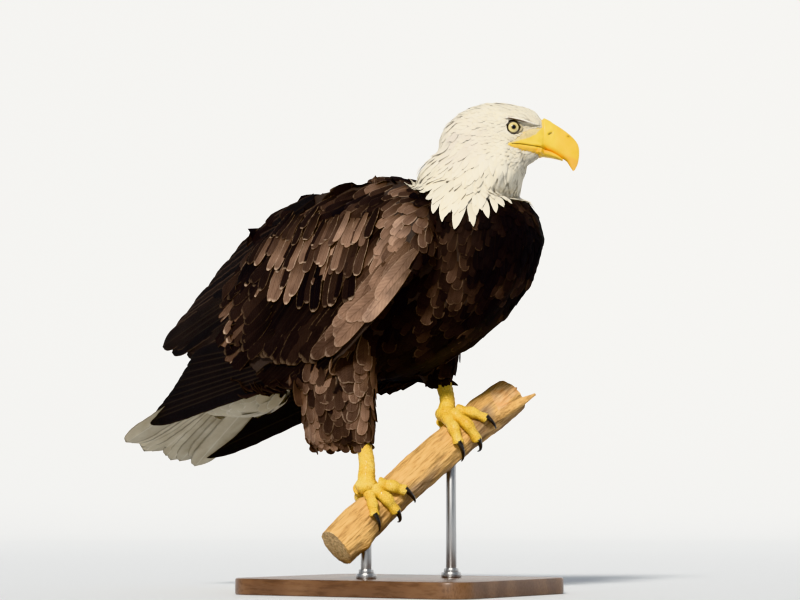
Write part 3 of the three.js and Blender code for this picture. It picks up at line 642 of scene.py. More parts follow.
def kept_off(region, p, n):
    """Places that other feathers cover, or that lie inside the bill or behind the wing."""
    x, y, z = (v / MM for v in p)
    if region == "head":
        f, _, up = in_head(Vector(p))
        return (n.dot(head_forward) > 0.72 and f > 30) or on_face(f, up, 1.2)
    if region.startswith("thigh") and n.z < -0.55:
        return True
    if region == "neck" and x > 164 and n.z > 0.55:
        return True
    if not region.startswith("wing"):
        return False
    if n.z < -0.45 and z < 320:
        return True
    if n.y * (-1 if region == "wing_right" else 1) < -0.1 and z < 470:
        return True
    if x < 104 and edge_height(x, z) < PRIMARY_COVERT_BAND:
        return True
    return x < 20 and z < hem_height(x) + 62


def throw(region):
    """Roots of one region: place, triangle, way, length, width."""
    guides = REGIONS[region]
    own = np.flatnonzero(tri_home == FLESH.index(region))
    spacing = combed(tri_middle[own], guides)[3]
    weight = tri_area[own] / spacing**2
    tries = int(weight.sum() * 5)
    chosen = own[rng.choice(len(own), tries, p=weight / weight.sum())]
    a, b = rng.random(tries), rng.random(tries)
    over = a + b > 1
    a[over], b[over] = 1 - a[over], 1 - b[over]
    c = corners[chosen]
    spots = c[:, 0] + a[:, None] * (c[:, 1] - c[:, 0]) + b[:, None] * (c[:, 2] - c[:, 0])
    t = uv[tri_loops[chosen]]
    marks = t[:, 0] + a[:, None] * (t[:, 1] - t[:, 0]) + b[:, None] * (t[:, 2] - t[:, 0])
    way, long, wide, gap = combed(spots, guides)
    cell = gap.max()
    grid, kept = {}, []
    keys = np.floor(spots / cell).astype(int)
    for i in range(tries):
        kx, ky, kz = keys[i]
        p, r2 = spots[i], gap[i] ** 2
        clear = True
        for dx in (-1, 0, 1):
            for dy in (-1, 0, 1):
                for dz in (-1, 0, 1):
                    for q in grid.get((kx + dx, ky + dy, kz + dz), ()):
                        if (q[0] - p[0]) ** 2 + (q[1] - p[1]) ** 2 + (q[2] - p[2]) ** 2 < r2:
                            clear = False
                            break
                    if not clear:
                        break
                if not clear:
                    break
            if not clear:
                break
        if not clear:
            continue
        n = tri_normal_list[chosen[i]]
        if kept_off(region, p, n):
            continue
        start = Vector(p) + n * 0.006
        if skin_tree.ray_cast(start, n, OPEN_REACH)[0] is not None:
            continue
        if any((start - centre).length < reach for centre, reach in bare_spots):
            continue
        grid.setdefault((kx, ky, kz), []).append(tuple(p))
        kept.append(i)
    kept = np.array(kept)
    print(region, "roots", len(kept))
    return {"spot": spots[kept], "tri": chosen[kept], "mark": marks[kept], "way": way[kept],
            "long": long[kept], "wide": wide[kept]}


# %% [markdown]
# One feather. A vane is thin, a little thicker along its shaft, and closed, so it is modelled as a flat
# four-sided tube: its left edge, its shaft, its right edge and its underside. The tube is drawn once as
# a circle of four points extruded along the feather, and every feather of the coat is a copy of it.

# %% The vane that every feather copies
def vane_template(stations, around=4):
    """Faces, and for each point its station and its place round the vane."""
    bm = bmesh.new()
    bmesh.ops.create_circle(bm, cap_ends=True, segments=around, radius=1)
    ring = [bm.faces[:][0]]
    for v in bm.verts:
        v.co.z = 0
    for k in range(1, stations):
        made = bmesh.ops.extrude_face_region(bm, geom=ring)
        new_verts = [g for g in made["geom"] if isinstance(g, bmesh.types.BMVert)]
        if k > 1:
            bmesh.ops.delete(bm, geom=ring, context="FACES_ONLY")
        ring = [g for g in made["geom"] if isinstance(g, bmesh.types.BMFace)]
        for v in new_verts:
            v.co.z = k
    bmesh.ops.recalc_face_normals(bm, faces=bm.faces)
    bm.verts.index_update()
    places = np.array([v.co[:] for v in bm.verts])
    faces = [[v.index for v in f.verts] for f in bm.faces]
    bm.free()
    return places, faces


def vane_model(stations, around, pull=1.0):
    places, faces = vane_template(stations, around)
    corners = np.concatenate([np.array(f) for f in faces])
    sizes = np.array([len(f) for f in faces])
    across = np.sign(places[:, 0]) * np.abs(places[:, 0]) ** pull
    across[np.abs(places[:, 0]) < 1e-6] = 0
    under = np.array([places[f, 1].mean() < -1e-6 for f in faces])
    return {"across": across, "above": places[:, 1], "step": np.rint(places[:, 2]).astype(int),
            "corners": corners, "sizes": sizes, "stations": stations, "under": np.repeat(under, sizes)}


SMALL_VANE = vane_model(7, 4)
LARGE_VANE = vane_model(14, 6)
LONG_VANE = vane_model(30, 16, 2.0)
print("vane faces:", *[len(m["sizes"]) for m in (SMALL_VANE, LARGE_VANE, LONG_VANE)])

# place along the feather, and its share of the full width there
PROFILES = {
    "round": ([0, 0.16, 0.36, 0.58, 0.78, 0.93, 1.0], [0.34, 0.62, 0.88, 1.0, 0.96, 0.70, 0.28]),
    "square": ([0, 0.16, 0.36, 0.58, 0.80, 0.95, 1.0], [0.40, 0.70, 0.92, 1.0, 1.0, 0.84, 0.50]),
    "broad": ([0, 0.16, 0.36, 0.58, 0.80, 0.90, 0.97, 1.0], [0.40, 0.70, 0.92, 1.0, 0.97, 0.84, 0.55, 0.22]),
    "lance": ([0, 0.16, 0.34, 0.52, 0.70, 0.87, 1.0], [0.60, 0.90, 1.0, 0.97, 0.80, 0.47, 0.05]),
    "down": ([0, 0.2, 0.4, 0.6, 0.78, 0.92, 1.0], [0.5, 0.85, 1.0, 0.96, 0.8, 0.5, 0.12]),
    "long": ([0, 0.1, 0.3, 0.6, 0.85, 0.96, 1.0], [0.5, 0.75, 0.95, 1.0, 0.92, 0.62, 0.16]),
}
PATCH = 0.003


def spread_steps(profile, count):
    """The profile's stations, or more of them, closer together near the tip."""
    steps, widths = (np.array(v, float) for v in PROFILES[profile])
    if count != len(steps):
        finer = 1 - (1 - np.linspace(0, 1, count)) ** 1.25
        widths = np.interp(finer, steps, widths)
        steps = finer
    return steps, widths


def copies_to_mesh(name, points, model, steps, marks, paint):
    """Joins copies of one vane: points is count x vertices x 3."""
    count, size = points.shape[:2]
    corners, sizes = model["corners"], model["sizes"]
    mesh = bpy.data.meshes.new(name)
    mesh.vertices.add(count * size)
    mesh.vertices.foreach_set("co", points.ravel())
    mesh.loops.add(count * len(corners))
    mesh.polygons.add(count * len(sizes))
    mesh.loops.foreach_set("vertex_index", (corners[None, :] + np.arange(count)[:, None] * size).ravel())
    every = np.tile(sizes, count)
    mesh.polygons.foreach_set("loop_start", np.concatenate([[0], np.cumsum(every)[:-1]]))
    mesh.update(calc_edges=True)
    vane_uv = np.stack([(model["across"] + 1) / 2, steps[model["step"]]], 1)[corners]
    mesh.uv_layers.new(name="vane").uv.foreach_set("vector", np.tile(vane_uv, (count, 1)).ravel())
    if marks is None:
        strip = np.stack([vane_uv[:, 0] * 0.86 + 0.07, vane_uv[:, 1] * 0.46 + 0.02 + 0.5 * model["under"]], 1)
        patch = np.tile(strip, (count, 1)).reshape(count, -1, 2)
        patch[:, :, 0] = (patch[:, :, 0] + np.arange(count)[:, None]) / count
    else:
        patch = np.clip(marks[:, None, :] + (vane_uv[None] - 0.5) * PATCH, 0.001, 0.999)
    mesh.uv_layers.new(name="OFBake").uv.foreach_set("vector", patch.ravel())
    colour = mesh.attributes.new("tint", "FLOAT_COLOR", "POINT")
    colour.data.foreach_set("color", np.repeat(paint, size, axis=0).ravel())
    mesh.validate()
    return mesh


def lay(name, roots, profile, paint, material, slot, wrap=1.0, tip=0.1, thick=0.0007, camber=0.16,
        start=0.0004, ruffle=0.16, model=SMALL_VANE, bend=0.1, loose=0.3, vary=0.14, grip=0.2, stray=0.006):
    """Lays one feather on each root, following the skin, and joins them. Each tip rises by a share of its length."""
    count = len(roots["spot"])
    steps, widths = spread_steps(profile, model["stations"])
    long = roots["long"] * rng.uniform(1 - vary, 1 + vary, count)
    wide = roots["wide"] * rng.uniform(0.88, 1.1, count)
    turn = rng.normal(0, ruffle, count)
    shrug = rng.uniform(1 - loose, 1 + loose, count)
    lanes, ups, ways = (np.zeros((count, len(steps), 3)) for _ in range(3))
    for i in range(count):
        p = Vector(roots["spot"][i])
        n = tri_normal_list[roots["tri"][i]]
        d = Vector(roots["way"][i])
        d = (d - n * n.dot(d)).normalized()
        d = (Matrix.Rotation(turn[i], 3, n) @ d).normalized()
        lanes[i, 0], ups[i, 0], ways[i, 0] = p, n, d
        for j in range(1, len(steps)):
            q = p + d * ((steps[j] - steps[j - 1]) * long[i])
            spot, _, index, gap = skin_tree.find_nearest(q)
            if gap > stray:
                q = spot.lerp(q, stray / gap)
            m = tri_normal_list[index]
            hold = wrap if m.dot(n) > grip else 0.0
            p = q.lerp(spot, hold)
            n = n.lerp(m, hold).normalized()
            d = (d - n * (n.dot(d) * hold)).normalized()
            lanes[i, j], ups[i, j], ways[i, j] = p, n, d
    sides = np.cross(ups, ways)
    sides /= np.linalg.norm(sides, axis=2, keepdims=True)
    half = wide[:, None] / 2 * widths[None, :]
    lanes += sides * (rng.normal(0, bend, count)[:, None] * wide[:, None] * steps[None, :] ** 2)[:, :, None]
    lift = roots.get("lift", np.zeros(count))
    rise = start + lift[:, None] + (tip * shrug * long)[:, None] * (0.1 + 0.9 * steps[None, :])
    step, across, above = model["step"], model["across"], model["above"]
    height = rise[:, step] + above * thick / 2 - camber * half[:, step] * np.abs(across) ** 1.5
    points = lanes[:, step] + ups[:, step] * height[:, :, None] + sides[:, step] * (half[:, step] * across)[:, :, None]
    mesh = copies_to_mesh(name, points, model, steps, roots["mark"], paint)
    return piece(name, mesh, material, flat_over=50)


# %% Plumage colours, by region and place
BROWNS = np.array([(0.006, 0.0048, 0.0055), (0.021, 0.0145, 0.0135), (0.082, 0.053, 0.042),
                   (0.25, 0.155, 0.110), (0.44, 0.29, 0.210)])


def brown_of(level):
    """The brown at a level from 0, nearly black, to 1, sun-bleached."""
    place = np.clip(level, 0, 0.999) * (len(BROWNS) - 1)
    low = place.astype(int)
    part = (place - low)[:, None]
    return BROWNS[low] * (1 - part) + BROWNS[low + 1] * part


def field(points, scale, seed=0.0):
    """A soft value from 0 to 1 that varies over space."""
    return np.array([0.5 + 0.5 * noise.noise(Vector(p) * scale + Vector((seed, seed, seed))) for p in points])


def brown_tints(roots, bias, fringe=(0.1, 1.0), patchy=0.8):
    spots = roots["spot"]
    level = bias + patchy * (field(spots, 22) - 0.5) + rng.normal(0, 0.10, len(spots))
    amount = rng.uniform(*fringe, len(spots)) * smooth_step(0.05, 0.5, level)
    return np.concatenate([brown_of(level), amount[:, None]], 1)


# the white of the tail and its coverts is given as a dull khaki: painted shade over white
SMOKY, LORES_BEIGE, TAIL_WHITE_IN_SHADE = np.array((0.56, 0.50, 0.45)), np.array((0.70, 0.58, 0.38)), (0.60, 0.54, 0.42)


def white_tints(roots, spread=0.05, white=WHITE):
    count = len(roots["spot"])
    shade = 1 - 2 * spread * (1 - field(roots["spot"], 45))[:, None] - np.abs(rng.normal(0, spread, (count, 1)))
    colours = np.array(white) * shade - rng.uniform(0, 0.04, (count, 1)) * np.array([0, 0.3, 1])
    return np.concatenate([colours, rng.uniform(0.3, 1, (count, 1))], 1)


def head_tints(roots, spread):
    """White, smoked grey over the hind crown and the side of the nape, buff before and below the eye."""
    paint = white_tints(roots, spread)
    for i, spot in enumerate(roots["spot"]):
        f, left, up = in_head(Vector(spot))
        smoke = 0.75 * math.exp(-((f + 58) / 26) ** 2 - ((up + 14) / 30) ** 2)
        smoke *= 0.5 + noise.noise(Vector(spot) * 70) + 0.3
        buff = 0.75 * math.exp(-((f - 17) / 13) ** 2 - ((up + 5) / 8) ** 2) + 0.35 * math.exp(
            -((f - 2) / 9) ** 2 - ((up + 15) / 6) ** 2)
        paint[i, :3] = mix(mix(paint[i, :3], SMOKY, min(max(smoke, 0), 0.8)), LORES_BEIGE, min(buff, 0.8))
    return paint


def wing_bias(spots):
    """Paler about the wrist and the middle of the wing, partly sun-bleached feathers and partly painted sunlight; dark
    along the back behind, as painted shade.
    """
    x, z = spots[:, 0] / MM, spots[:, 2] / MM
    # paler spots at the wrist and the middle: part sun-bleaching, part painted sunlight
    wrist = np.exp(-((x - 88) / 36) ** 2 - ((z - 440) / 40) ** 2)
    middle = np.exp(-((x + 8) / 42) ** 2 - ((z - 440) / 52) ** 2)
    rear = np.exp(-((x + 130) / 44) ** 2 - ((z - 420) / 40) ** 2)
    mantle = 0.2 * smooth_step(478, 500, z) * smooth_step(-50, 0, x)
    # darker along the top edge behind: painted shade
    edge = 0.16 * smooth_step(470, 500, z) * smooth_step(-40, -80, x)
    return 0.22 + 0.62 * wrist + 0.56 * middle + 0.12 * rear + mantle - edge


def trunk_bias(spots):
    """Nearly black, darker still below and in front as painted shade; browner over the back and before the wrist."""
    x, y, z = (spots / MM).T
    flank = np.exp(-((x - 112) / 34) ** 2 - ((z - 425) / 55) ** 2) * smooth_step(-30, -70, y)
    # the last two terms darken the belly and the front of the breast: painted shade
    return (0.08 + 0.24 * smooth_step(470, 500, z) * smooth_step(90, 30, x) + 0.42 * flank
            - 0.06 * smooth_step(360, 320, z) - 0.05 * smooth_step(150, 175, x))


EYE = (-2.5, 22.5, -2.0)
for side in (-1, 1):
    bare_spots.append((head_point(EYE[0], side * 29, EYE[2]), 0.0098))

head_roots = throw("head")
lay("coat_head", head_roots, "round", head_tints(head_roots, 0.04), WHITE_FEATHERS, "white_plumage",
    tip=0.14, thick=0.0003, ruffle=0.15, start=0.0002, camber=0.10)
neck_roots = throw("neck")
lay("coat_neck", neck_roots, "lance", head_tints(neck_roots, 0.05), WHITE_FEATHERS, "white_plumage",
    wrap=0.8, tip=0.14, thick=0.0005, ruffle=0.16, camber=0.14)
# the near thigh is painted far paler than the far one: painted sunlight on the near side
for region, profile, bias, fringe, wrap, tip in (
        ("trunk", "round", trunk_bias, (0.0, 0.35), 0.95, 0.07), ("thigh_right", "round", 0.52, (0.05, 0.45), 0.7, 0.12),
        ("thigh_left", "round", 0.12, (0.0, 0.4), 0.7, 0.12), ("tail_coverts", "round", 0, (0, 1), 0.9, 0.08),
        ("wing_right", "broad", wing_bias, (0.05, 0.6), 0.95, 0.08),
        ("wing_left", "broad", wing_bias, (0.05, 0.6), 0.95, 0.08)):
    roots = throw(region)
    if region.startswith("thigh"):
        hem = {"thigh_right": 0.188, "thigh_left": 0.264}[region]
        roots["long"] *= 1 - 0.55 * smooth_step(hem + 0.035, hem, roots["spot"][:, 2])
    white = region == "tail_coverts"
    level = bias(roots["spot"]) if callable(bias) else bias
    # the white tail coverts are painted a dull khaki as shade
    paint = white_tints(roots, 0.08, TAIL_WHITE_IN_SHADE) if white else brown_tints(roots, level, fringe)
    lay("coat_" + region, roots, profile, paint, WHITE_FEATHERS if white else BROWN_FEATHERS,
        "white_plumage" if white else "brown_plumage", wrap=wrap, tip=tip,
        **({"grip": 0.86, "stray": 0.03} if region.startswith("thigh") else {}))

# %% [markdown]
# The rows on the wing. The small feathers of a wing lie anyhow, but the large ones stand in rows: dark
# secondaries lowest, smooth primary coverts along the front edge, and over them long square coverts
# that hang with pale rims. Each row is a line of places and a length, shot onto the skin from the side.

# %% Rows of large feathers on the wings
# places along the wing of hanging coverts painted pale with full rims, as painted sunlight
SUNLIT_COVERTS = (-33, -38, -84, -118, -131, -158)


def row_feather(tip, way, long, wide, lift, level, fringe):
    way = np.array(way) / np.hypot(*way)
    root = np.array(tip) - way * long
    return (*root, *way, long, wide, lift, level, fringe)


def hanging_way(x):
    return (mix(-0.10, -0.38, float(smooth_step(-80, -190, x))), -1)


def wing_rows():
    """Places and sizes of all row feathers: root x and z, way, length, width, lift, brown level, fringe."""
    secondaries, coverts = [], []
    for k in range(15):
        x = mix(10, -128, k / 14)
        long = mix(92, 112, k / 14)
        way = (-0.86, -0.52)
        secondaries.append((x, 296 - 0.1 * (10 - x), *way, long, 25, 0.3, 0.08 + 0.08 * random.random(), 0.1))
    for k in range(20):
        x = mix(34, -165, k / 19)
        way = (mix(-0.70, -0.78, k / 19), -0.68)
        secondaries.append((x, hem_height(x) + 14, *way, 112, 27, 1.0 + k * 0.05, 0.06 + 0.16 * random.random(), 0.2))
    for inset, long, wide, lift, fan in ((30, 66, 22, 2.4, 0.16), (19, 78, 23, 2.9, 0.08), (7, 88, 22, 3.4, 0.0)):
        for k in range(7):
            along = mix(-4, 104, k / 6)
            root = WING_EDGE_FOOT + WING_EDGE_WAY * along + np.array((-0.610, 0.792)) * inset
            way = (WING_EDGE_WAY[0] + fan, WING_EDGE_WAY[1] - fan)
            # paler towards the wrist: part worn colour, part painted sunlight
            level = mix(0.88, 0.46, (k / 6) ** 1.4) - 0.16 * (inset > 25) + random.uniform(-0.05, 0.05)
            coverts.append((*root, *way, long, wide, lift - 0.12 * k, level, 0.35))
    for above, long, wide, lift, step in ((0, 64, 21, 3.4, 11.0), (40, 48, 19, 4.6, 10.0), (74, 40, 17.5, 5.4, 9.5)):
        x = 16 + above * 0.3
        while x > -212:
            lit = any(abs(x - spot) < 6.5 for spot in SUNLIT_COVERTS) and above < 50
            tip = (x + random.uniform(-3, 3), hem_height(x) + above + random.uniform(-12, 10))
            level = float(wing_bias(np.array([(tip[0], 0, tip[1] + 24)]) * MM)[0])
            level = 0.66 if lit else level + random.choice((-0.2, -0.1, 0.04, 0.12)) - 0.12 * (above == 0)
            coverts.append(row_feather(tip, hanging_way(x + random.uniform(-14, 14)), long * random.uniform(0.9, 1.1),
                                       wide * random.uniform(0.85, 1.05), lift + random.uniform(-0.5, 0.5), level,
                                       1.0 if lit else random.uniform(0.1, 0.9)))
            x -= step * random.uniform(0.8, 1.15)
    return secondaries, coverts


def rear_coverts():
    """Coverts that leave the rear of the wing straight, over the roots of the inner flight feathers."""
    rows = []
    for row, (x, long, lift) in enumerate(((-176, 84, 1.2), (-150, 78, 2.4), (-122, 66, 3.4))):
        for k in range(15 - row):
            z = mix(428, 300 + 14 * row, k / (14 - row)) + random.uniform(-4, 4)
            lit = row < 2 and k in (5 + row, 9 - row, 12)
            rows.append((x + random.uniform(-6, 6), z, -0.88, mix(-0.60, -0.42, k / 14), long * random.uniform(0.85, 1.1),
                         22, lift + 0.5 * (k % 2), 0.55 if lit else 0.05 + 0.25 * random.random(), 1.0 if lit else 0.15))
    return rows


def shot_onto(side, rows, flattest=0.35):
    """Roots on the outer face of one wing, where it is steep enough to be seen from the side."""
    roots = {key: [] for key in ("spot", "tri", "mark", "way", "long", "wide", "lift")}
    levels = []
    for x, z, way_x, way_z, long, wide, lift, level, fringe in rows:
        spot, _, index, _ = skin_tree.ray_cast(vec(x, side * 300, z), Vector((0, -side, 0)), 0.4)
        if spot is None or abs(tri_normal_list[index].y) < flattest:
            continue
        for key, value in (("spot", spot[:]), ("tri", index), ("mark", uv[tri_loops[index]].mean(0)),
                           ("way", (way_x, 0, way_z)), ("long", long * MM), ("wide", wide * MM), ("lift", lift * MM)):
            roots[key].append(value)
        levels.append((level, fringe))
    levels = np.array(levels)
    paint = np.concatenate([brown_of(levels[:, 0] + rng.normal(0, 0.03, len(levels))), levels[:, 1:]], 1)
    return {key: np.array(value) for key, value in roots.items()}, paint


for side, name in ((-1, "right"), (1, "left")):
    secondaries, coverts = wing_rows()
    roots, paint = shot_onto(side, secondaries)
    lay("secondaries_" + name, roots, "long", paint, BROWN_FEATHERS, "brown_plumage", tip=0.02, ruffle=0.02,
        model=LARGE_VANE, vary=0.05, bend=0.03, camber=0.08)
    roots, paint = shot_onto(side, coverts)
    lay("covert_rows_" + name, roots, "broad", paint, BROWN_FEATHERS, "brown_plumage", tip=0.03, ruffle=0.07,
        model=LARGE_VANE, vary=0.04, bend=0.03, camber=0.12)
    roots, paint = shot_onto(side, rear_coverts(), 0.75)
    lay("rear_coverts_" + name, roots, "broad", paint, BROWN_FEATHERS, "brown_plumage", wrap=0.5, tip=0.03,
        ruffle=0.06, model=LARGE_VANE, vary=0.04, bend=0.03, camber=0.1, grip=0.93, stray=0.03)

# %% [markdown]
# The flight feathers. The long blades of wing and tail are few and large, so each is placed by its own
# root and tip: a long vane with a raised shaft, narrow in front of the shaft and wide behind it. The
# blades of a folded wing lie over each other like the leaves of a closed fan.

# %% Blades by root and tip
def lay_blades(name, blades, material, replaced, out_sign=1, model=LONG_VANE):
    """Each blade: root, tip, half width, the way across, sag outward, lift, bluntness, paint. Millimetres."""
    stations = 1 - (1 - np.linspace(0, 1, model["stations"])) ** 1.3
    step, across, above = model["step"], model["across"], model["above"]
    points = []
    for k, (root, tip, half, way, sag, lift, blunt, _) in enumerate(blades):
        draw = random.Random(k * 13 + 5)
        along = tip - root
        long = along.length
        along.normalize()
        side = (way - along * way.dot(along)).normalized()
        face = along.cross(side).normalized() * out_sign
        s = stations[step]
        widest = 0.55 + 0.45 * np.minimum(1, s / 0.3)
        tipward = np.clip((s - (0.9 - 0.22 * (1 - blunt))) / (0.1 + 0.22 * (1 - blunt)), 0, 1)
        close = np.sqrt(np.clip(1 - tipward ** (2.0 + blunt), 0.0, 1))
        close = np.maximum(close, 0.06)
        wave = draw.uniform(0, 6)
        ragged = 1 + 0.02 * np.sin(s * 41 + wave) + 0.015 * np.sin(s * 97 + 2 * wave)
        wide = half * widest * close * ragged * np.where(across > 0, 1.12, 0.88)
        ridge = (np.abs(across) < 0.05) * (1 - 0.7 * s) * 0.7
        thick = 0.55 * (1 - across**2) + 0.12 + ridge
        up = above * thick - 0.09 * half * across**2 * (1 - 0.4 * s) + sag * 4 * s * (1 - s) + lift
        centre = np.array(root)[None] + np.array(along)[None] * (s * long)[:, None]
        points.append((centre + np.array(side)[None] * (wide * across)[:, None]
                       + np.array(face)[None] * up[:, None]) * MM)
    paint = np.array([b[7] for b in blades], float)
    mesh = copies_to_mesh(name, np.array(points), model, stations, None, paint)
    return piece(name, mesh, material, replaced, flat_over=50)


WING = [
    (115, 102, 436, 114, 400, 5, 12), (109, 98, 456, 124, 386, 12, 22), (95, 92, 479, 129, 371, 21, 30),
    (72, 82, 496, 129, 350, 27, 34), (42, 70, 507, 125, 325, 31, 34), (2, 57, 512, 120, 292, 34, 32),
    (-40, 48, 510, 113, 269, 35, 30), (-100, 41, 501, 99, 256, 33, 24), (-158, 34, 486, 84, 248, 27, 18),
    (-205, 29, 461, 73, 262, 20, 13), (-248, 27, 426, 62, 288, 13, 8), (-282, 31, 389, 58, 312, 7, 5),
]
INNER_TIPS = [(-247, 24, 431), (-277, 28, 400), (-306, 34, 366), (-330, 41, 336), (-342, 46, 320),
              (-322, 51, 311), (-298, 55, 304)]
OUTER_TIPS = [(-352, 61, 218), (-329, 62, 238), (-309, 62, 258), (-293, 61, 278), (-279, 60, 297)]


def mm(x, y, z):
    return Vector((x, y, z))


def shell_depth(x, z):
    """How far out the middle of the wing's shell lies at x and z."""
    low, high = 0.0, 1.0
    for _ in range(30):
        half = (low + high) / 2
        low, high = (half, high) if station(WING, half)[0] > x else (low, half)
    _, ty, tz, by, bz, bulge, thick = station(WING, low)
    u = min(max((tz - z) / (tz - bz), 0.06), 0.94)
    return mix(ty, by, u) + (4 * u * (1 - u)) ** 0.75 * bulge * 0.95 - thick * 0.35


def dark(level, fringe=0.5):
    a, b = np.array((0.0045, 0.004, 0.0048)), np.array((0.024, 0.017, 0.0145))
    return (*(a * (1 - level) + b * level), fringe)


for name, side, droop in (("right", -1, 0), ("left", 1, 42)):
    blades = []
    for k in range(9):
        t = k / 8
        x, y, z = station(OUTER_TIPS, t)
        i = 4 * t
        drop = droop * (1 - i / 10)
        tip = mm(x, side * (y - 2 + 3 * t), z - drop)
        root = mm(-98 + i * 7, side * (90 - i * 2), 276 + i * 10)
        blades.append((root, tip, 17 - i * 0.4, mm(0, -side * 0.16, 1), 4, k * 0.5, 0.15, dark(0.05 + 0.1 * random.random(), 0.3)))
    lay_blades("primary_feathers_" + name, blades, FLIGHT_FEATHERS, ["primaries_" + name], side)
    blades = []
    for k in range(13):
        t = k / 12
        x, y, z = station(INNER_TIPS, t)
        fall = mix(0.52, 0.44, t)
        tip = mm(x, side * y, z - mix(10, 2, t))
        fx, fz = x + 150, z - mix(10, 0, t) + 150 * fall - 6
        root = mm(fx, side * (shell_depth(fx, fz)), fz)
        tip += (root - tip).normalized() * (random.uniform(0, 9) + 9 * (k % 2))
        blades.append((root, tip, 16.5, mm(-fall, -side * 0.35, 1), 2, 2.2 - k * 0.3, 0.4,
                       dark(0.05 + 0.55 * random.random(), 0.8)))
    lay_blades("inner_flight_feathers_" + name, blades, FLIGHT_FEATHERS, [], side)

# %% Tail
TAIL_ROOT = mm(-180, 0, 312)
slope, roll = math.radians(32.6), math.radians(17)
TAIL_LENGTH, TAIL_SPREAD, TAIL_COUNT = 252, 10.5, 12
tail_back = mm(-math.cos(slope), 0, -math.sin(slope))
tail_up = mm(-math.sin(slope), 0, math.cos(slope))
rolled_over = Matrix.Rotation(roll, 3, tail_back)
tail_side, tail_face = rolled_over @ mm(0, 1, 0), rolled_over @ tail_up


def tail_point(k, s, lift):
    angle = math.radians(k * TAIL_SPREAD)
    long = TAIL_LENGTH * (1 - 0.06 * k * k) * s
    return (TAIL_ROOT + tail_side * (k * (18 + 17 * min(1, 3 * s)) + long * math.sin(angle))
            + tail_back * (long * math.cos(angle)) + tail_face * (-(4 + 5 * s) * k * k + lift))


TAIL_FEATHERS = feather_material("tail feathers", 0.5, (0.035, 0.026, 0.022), 0.96, start=0.80, shaft=0.3,
                                 shaft_colour=(0.80, 0.76, 0.66), barbs=420.0, root_shade=1.0, wander=0.12,
                                 aspect=9.0, barb_shade=0.03, worn=((0.78, 0.74, 0.66), (1.05, 1.05, 1.04)))
TAIL_STEPS = (0.0, 4.0, 15.0, 5.0, 0.0, 5.0, 18.0, 6.0, 1.0, 4.0, 15.0, 2.0)
blades = []
for k in range(TAIL_COUNT):
    place = (2 * (k + 0.5) / TAIL_COUNT - 1) * 0.86
    layer = 1.5 - 4.5 * abs(place)
    root, tip = tail_point(place, 0.1, 0), tail_point(place, 1.0, 0)
    tip += (root - tip).normalized() * TAIL_STEPS[k]
    dusk = random.uniform(0.82, 1.06)
    # each tail feather is white painted a dull khaki as shade, with a random tone
    blades.append((root, tip, 20, tail_side, 0, -layer, 0.55, (*(np.array(TAIL_WHITE_IN_SHADE) * dusk), 0.35 + 0.4 * random.random())))
lay_blades("tail_feathers", blades, TAIL_FEATHERS, ["tail"])

# %% Colour the skin as its coat is coloured
is_white = np.isin(collared(skin_home, co), [FLESH.index(n) for n in ("head", "neck", "tail_coverts")]).astype(float)
is_white = eased(is_white, 2)[:, None]
on_bare = np.array([in_head(Vector(p)) for p in co])
on_bare = np.array([abs(left) < 40 and -9 < f < 40 and on_face(f, up, -0.5) for f, left, up in on_bare])
skin_colour = np.array(WHITE) * 0.85 * is_white + np.array((0.03, 0.02, 0.016)) * (1 - is_white)
skin_colour[on_bare] = (0.70, 0.52, 0.16)
marking = skin_mesh.attributes.new("marking", "FLOAT_COLOR", "POINT")
marking.data.foreach_set("color", np.concatenate([skin_colour, np.ones((len(co), 1))], 1).ravel())
SKIN, skin_nodes, skin_shader = new_material("skin under the coat", 0.8)
skin_paint = add(skin_nodes, "Attribute", attribute_name="marking").outputs["Color"]
broad, fine = grain(skin_nodes, 90)
wire(skin_nodes, blended(skin_nodes, 1.0, skin_paint, ramp(skin_nodes, fine, [
    (0.3, (0.85, 0.85, 0.85)), (0.7, (1.05, 1.05, 1.05))]), "MULTIPLY"), skin_shader, "Base Color")
bump(skin_nodes, skin_shader, fine, 0.0006)
skin_mesh.materials.append(SKIN)
skin_mesh.shade_smooth()
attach(skin, "root")
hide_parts(*FLESH)

# %% [markdown]
# The bill. It is one horn sheath over the upper jaw and one over the lower, so each is a sheet rolled
# along a table of sizes: the ridge, the cutting edge and the width. The soft cere at its base stands a
# little proud of the horn, and the nostril is pressed into it.

# %% Bill
BILL_UPPER = [
    (24, 15, 18, -21.5, 14.5), (37, 13.4, 31, -23.5, 13.8), (52.2, 5.2, 43, -27, 12), (65, -3.6, 53, -32, 10.2),
    (74.6, -12.4, 60, -36.5, 8.4), (79.6, -21, 64.5, -39.8, 6.8), (80.4, -31, 67, -43.3, 5),
    (78.6, -42.4, 69.8, -47.8, 3), (74.8, -50.4, 72.4, -51.6, 1.1),
]
BILL_LOWER = [(0, -24, -29, 12), (14, -23.2, -31.5, 14), (30, -24.2, -33.6, 12.6), (44, -27.6, -35.4, 10.4),
              (54, -32.6, -37.6, 7.4), (60, -36.6, -39.4, 3.4)]
NOSTRIL = (44.0, -6.8)


def closing(v, low=0.015, high=0.985):
    """Station along a rolled shape, and how open it is: it closes to a point at both ends."""
    t = min(max((v - low) / (high - low), 0.0), 1.0)
    return t, min(1.0, v / low, (1 - v) / (1 - high)) if 0 < v < 1 else 0.0


def powered(x, power):
    return math.copysign(abs(x) ** power, x)


def nostril_map(f, h):
    """Along and across the slit of the nostril, which slants up and forward."""
    slit_f, slit_h = f - NOSTRIL[0], h - NOSTRIL[1]
    return slit_f * 0.88 + slit_h * 0.47, -slit_f * 0.47 + slit_h * 0.88


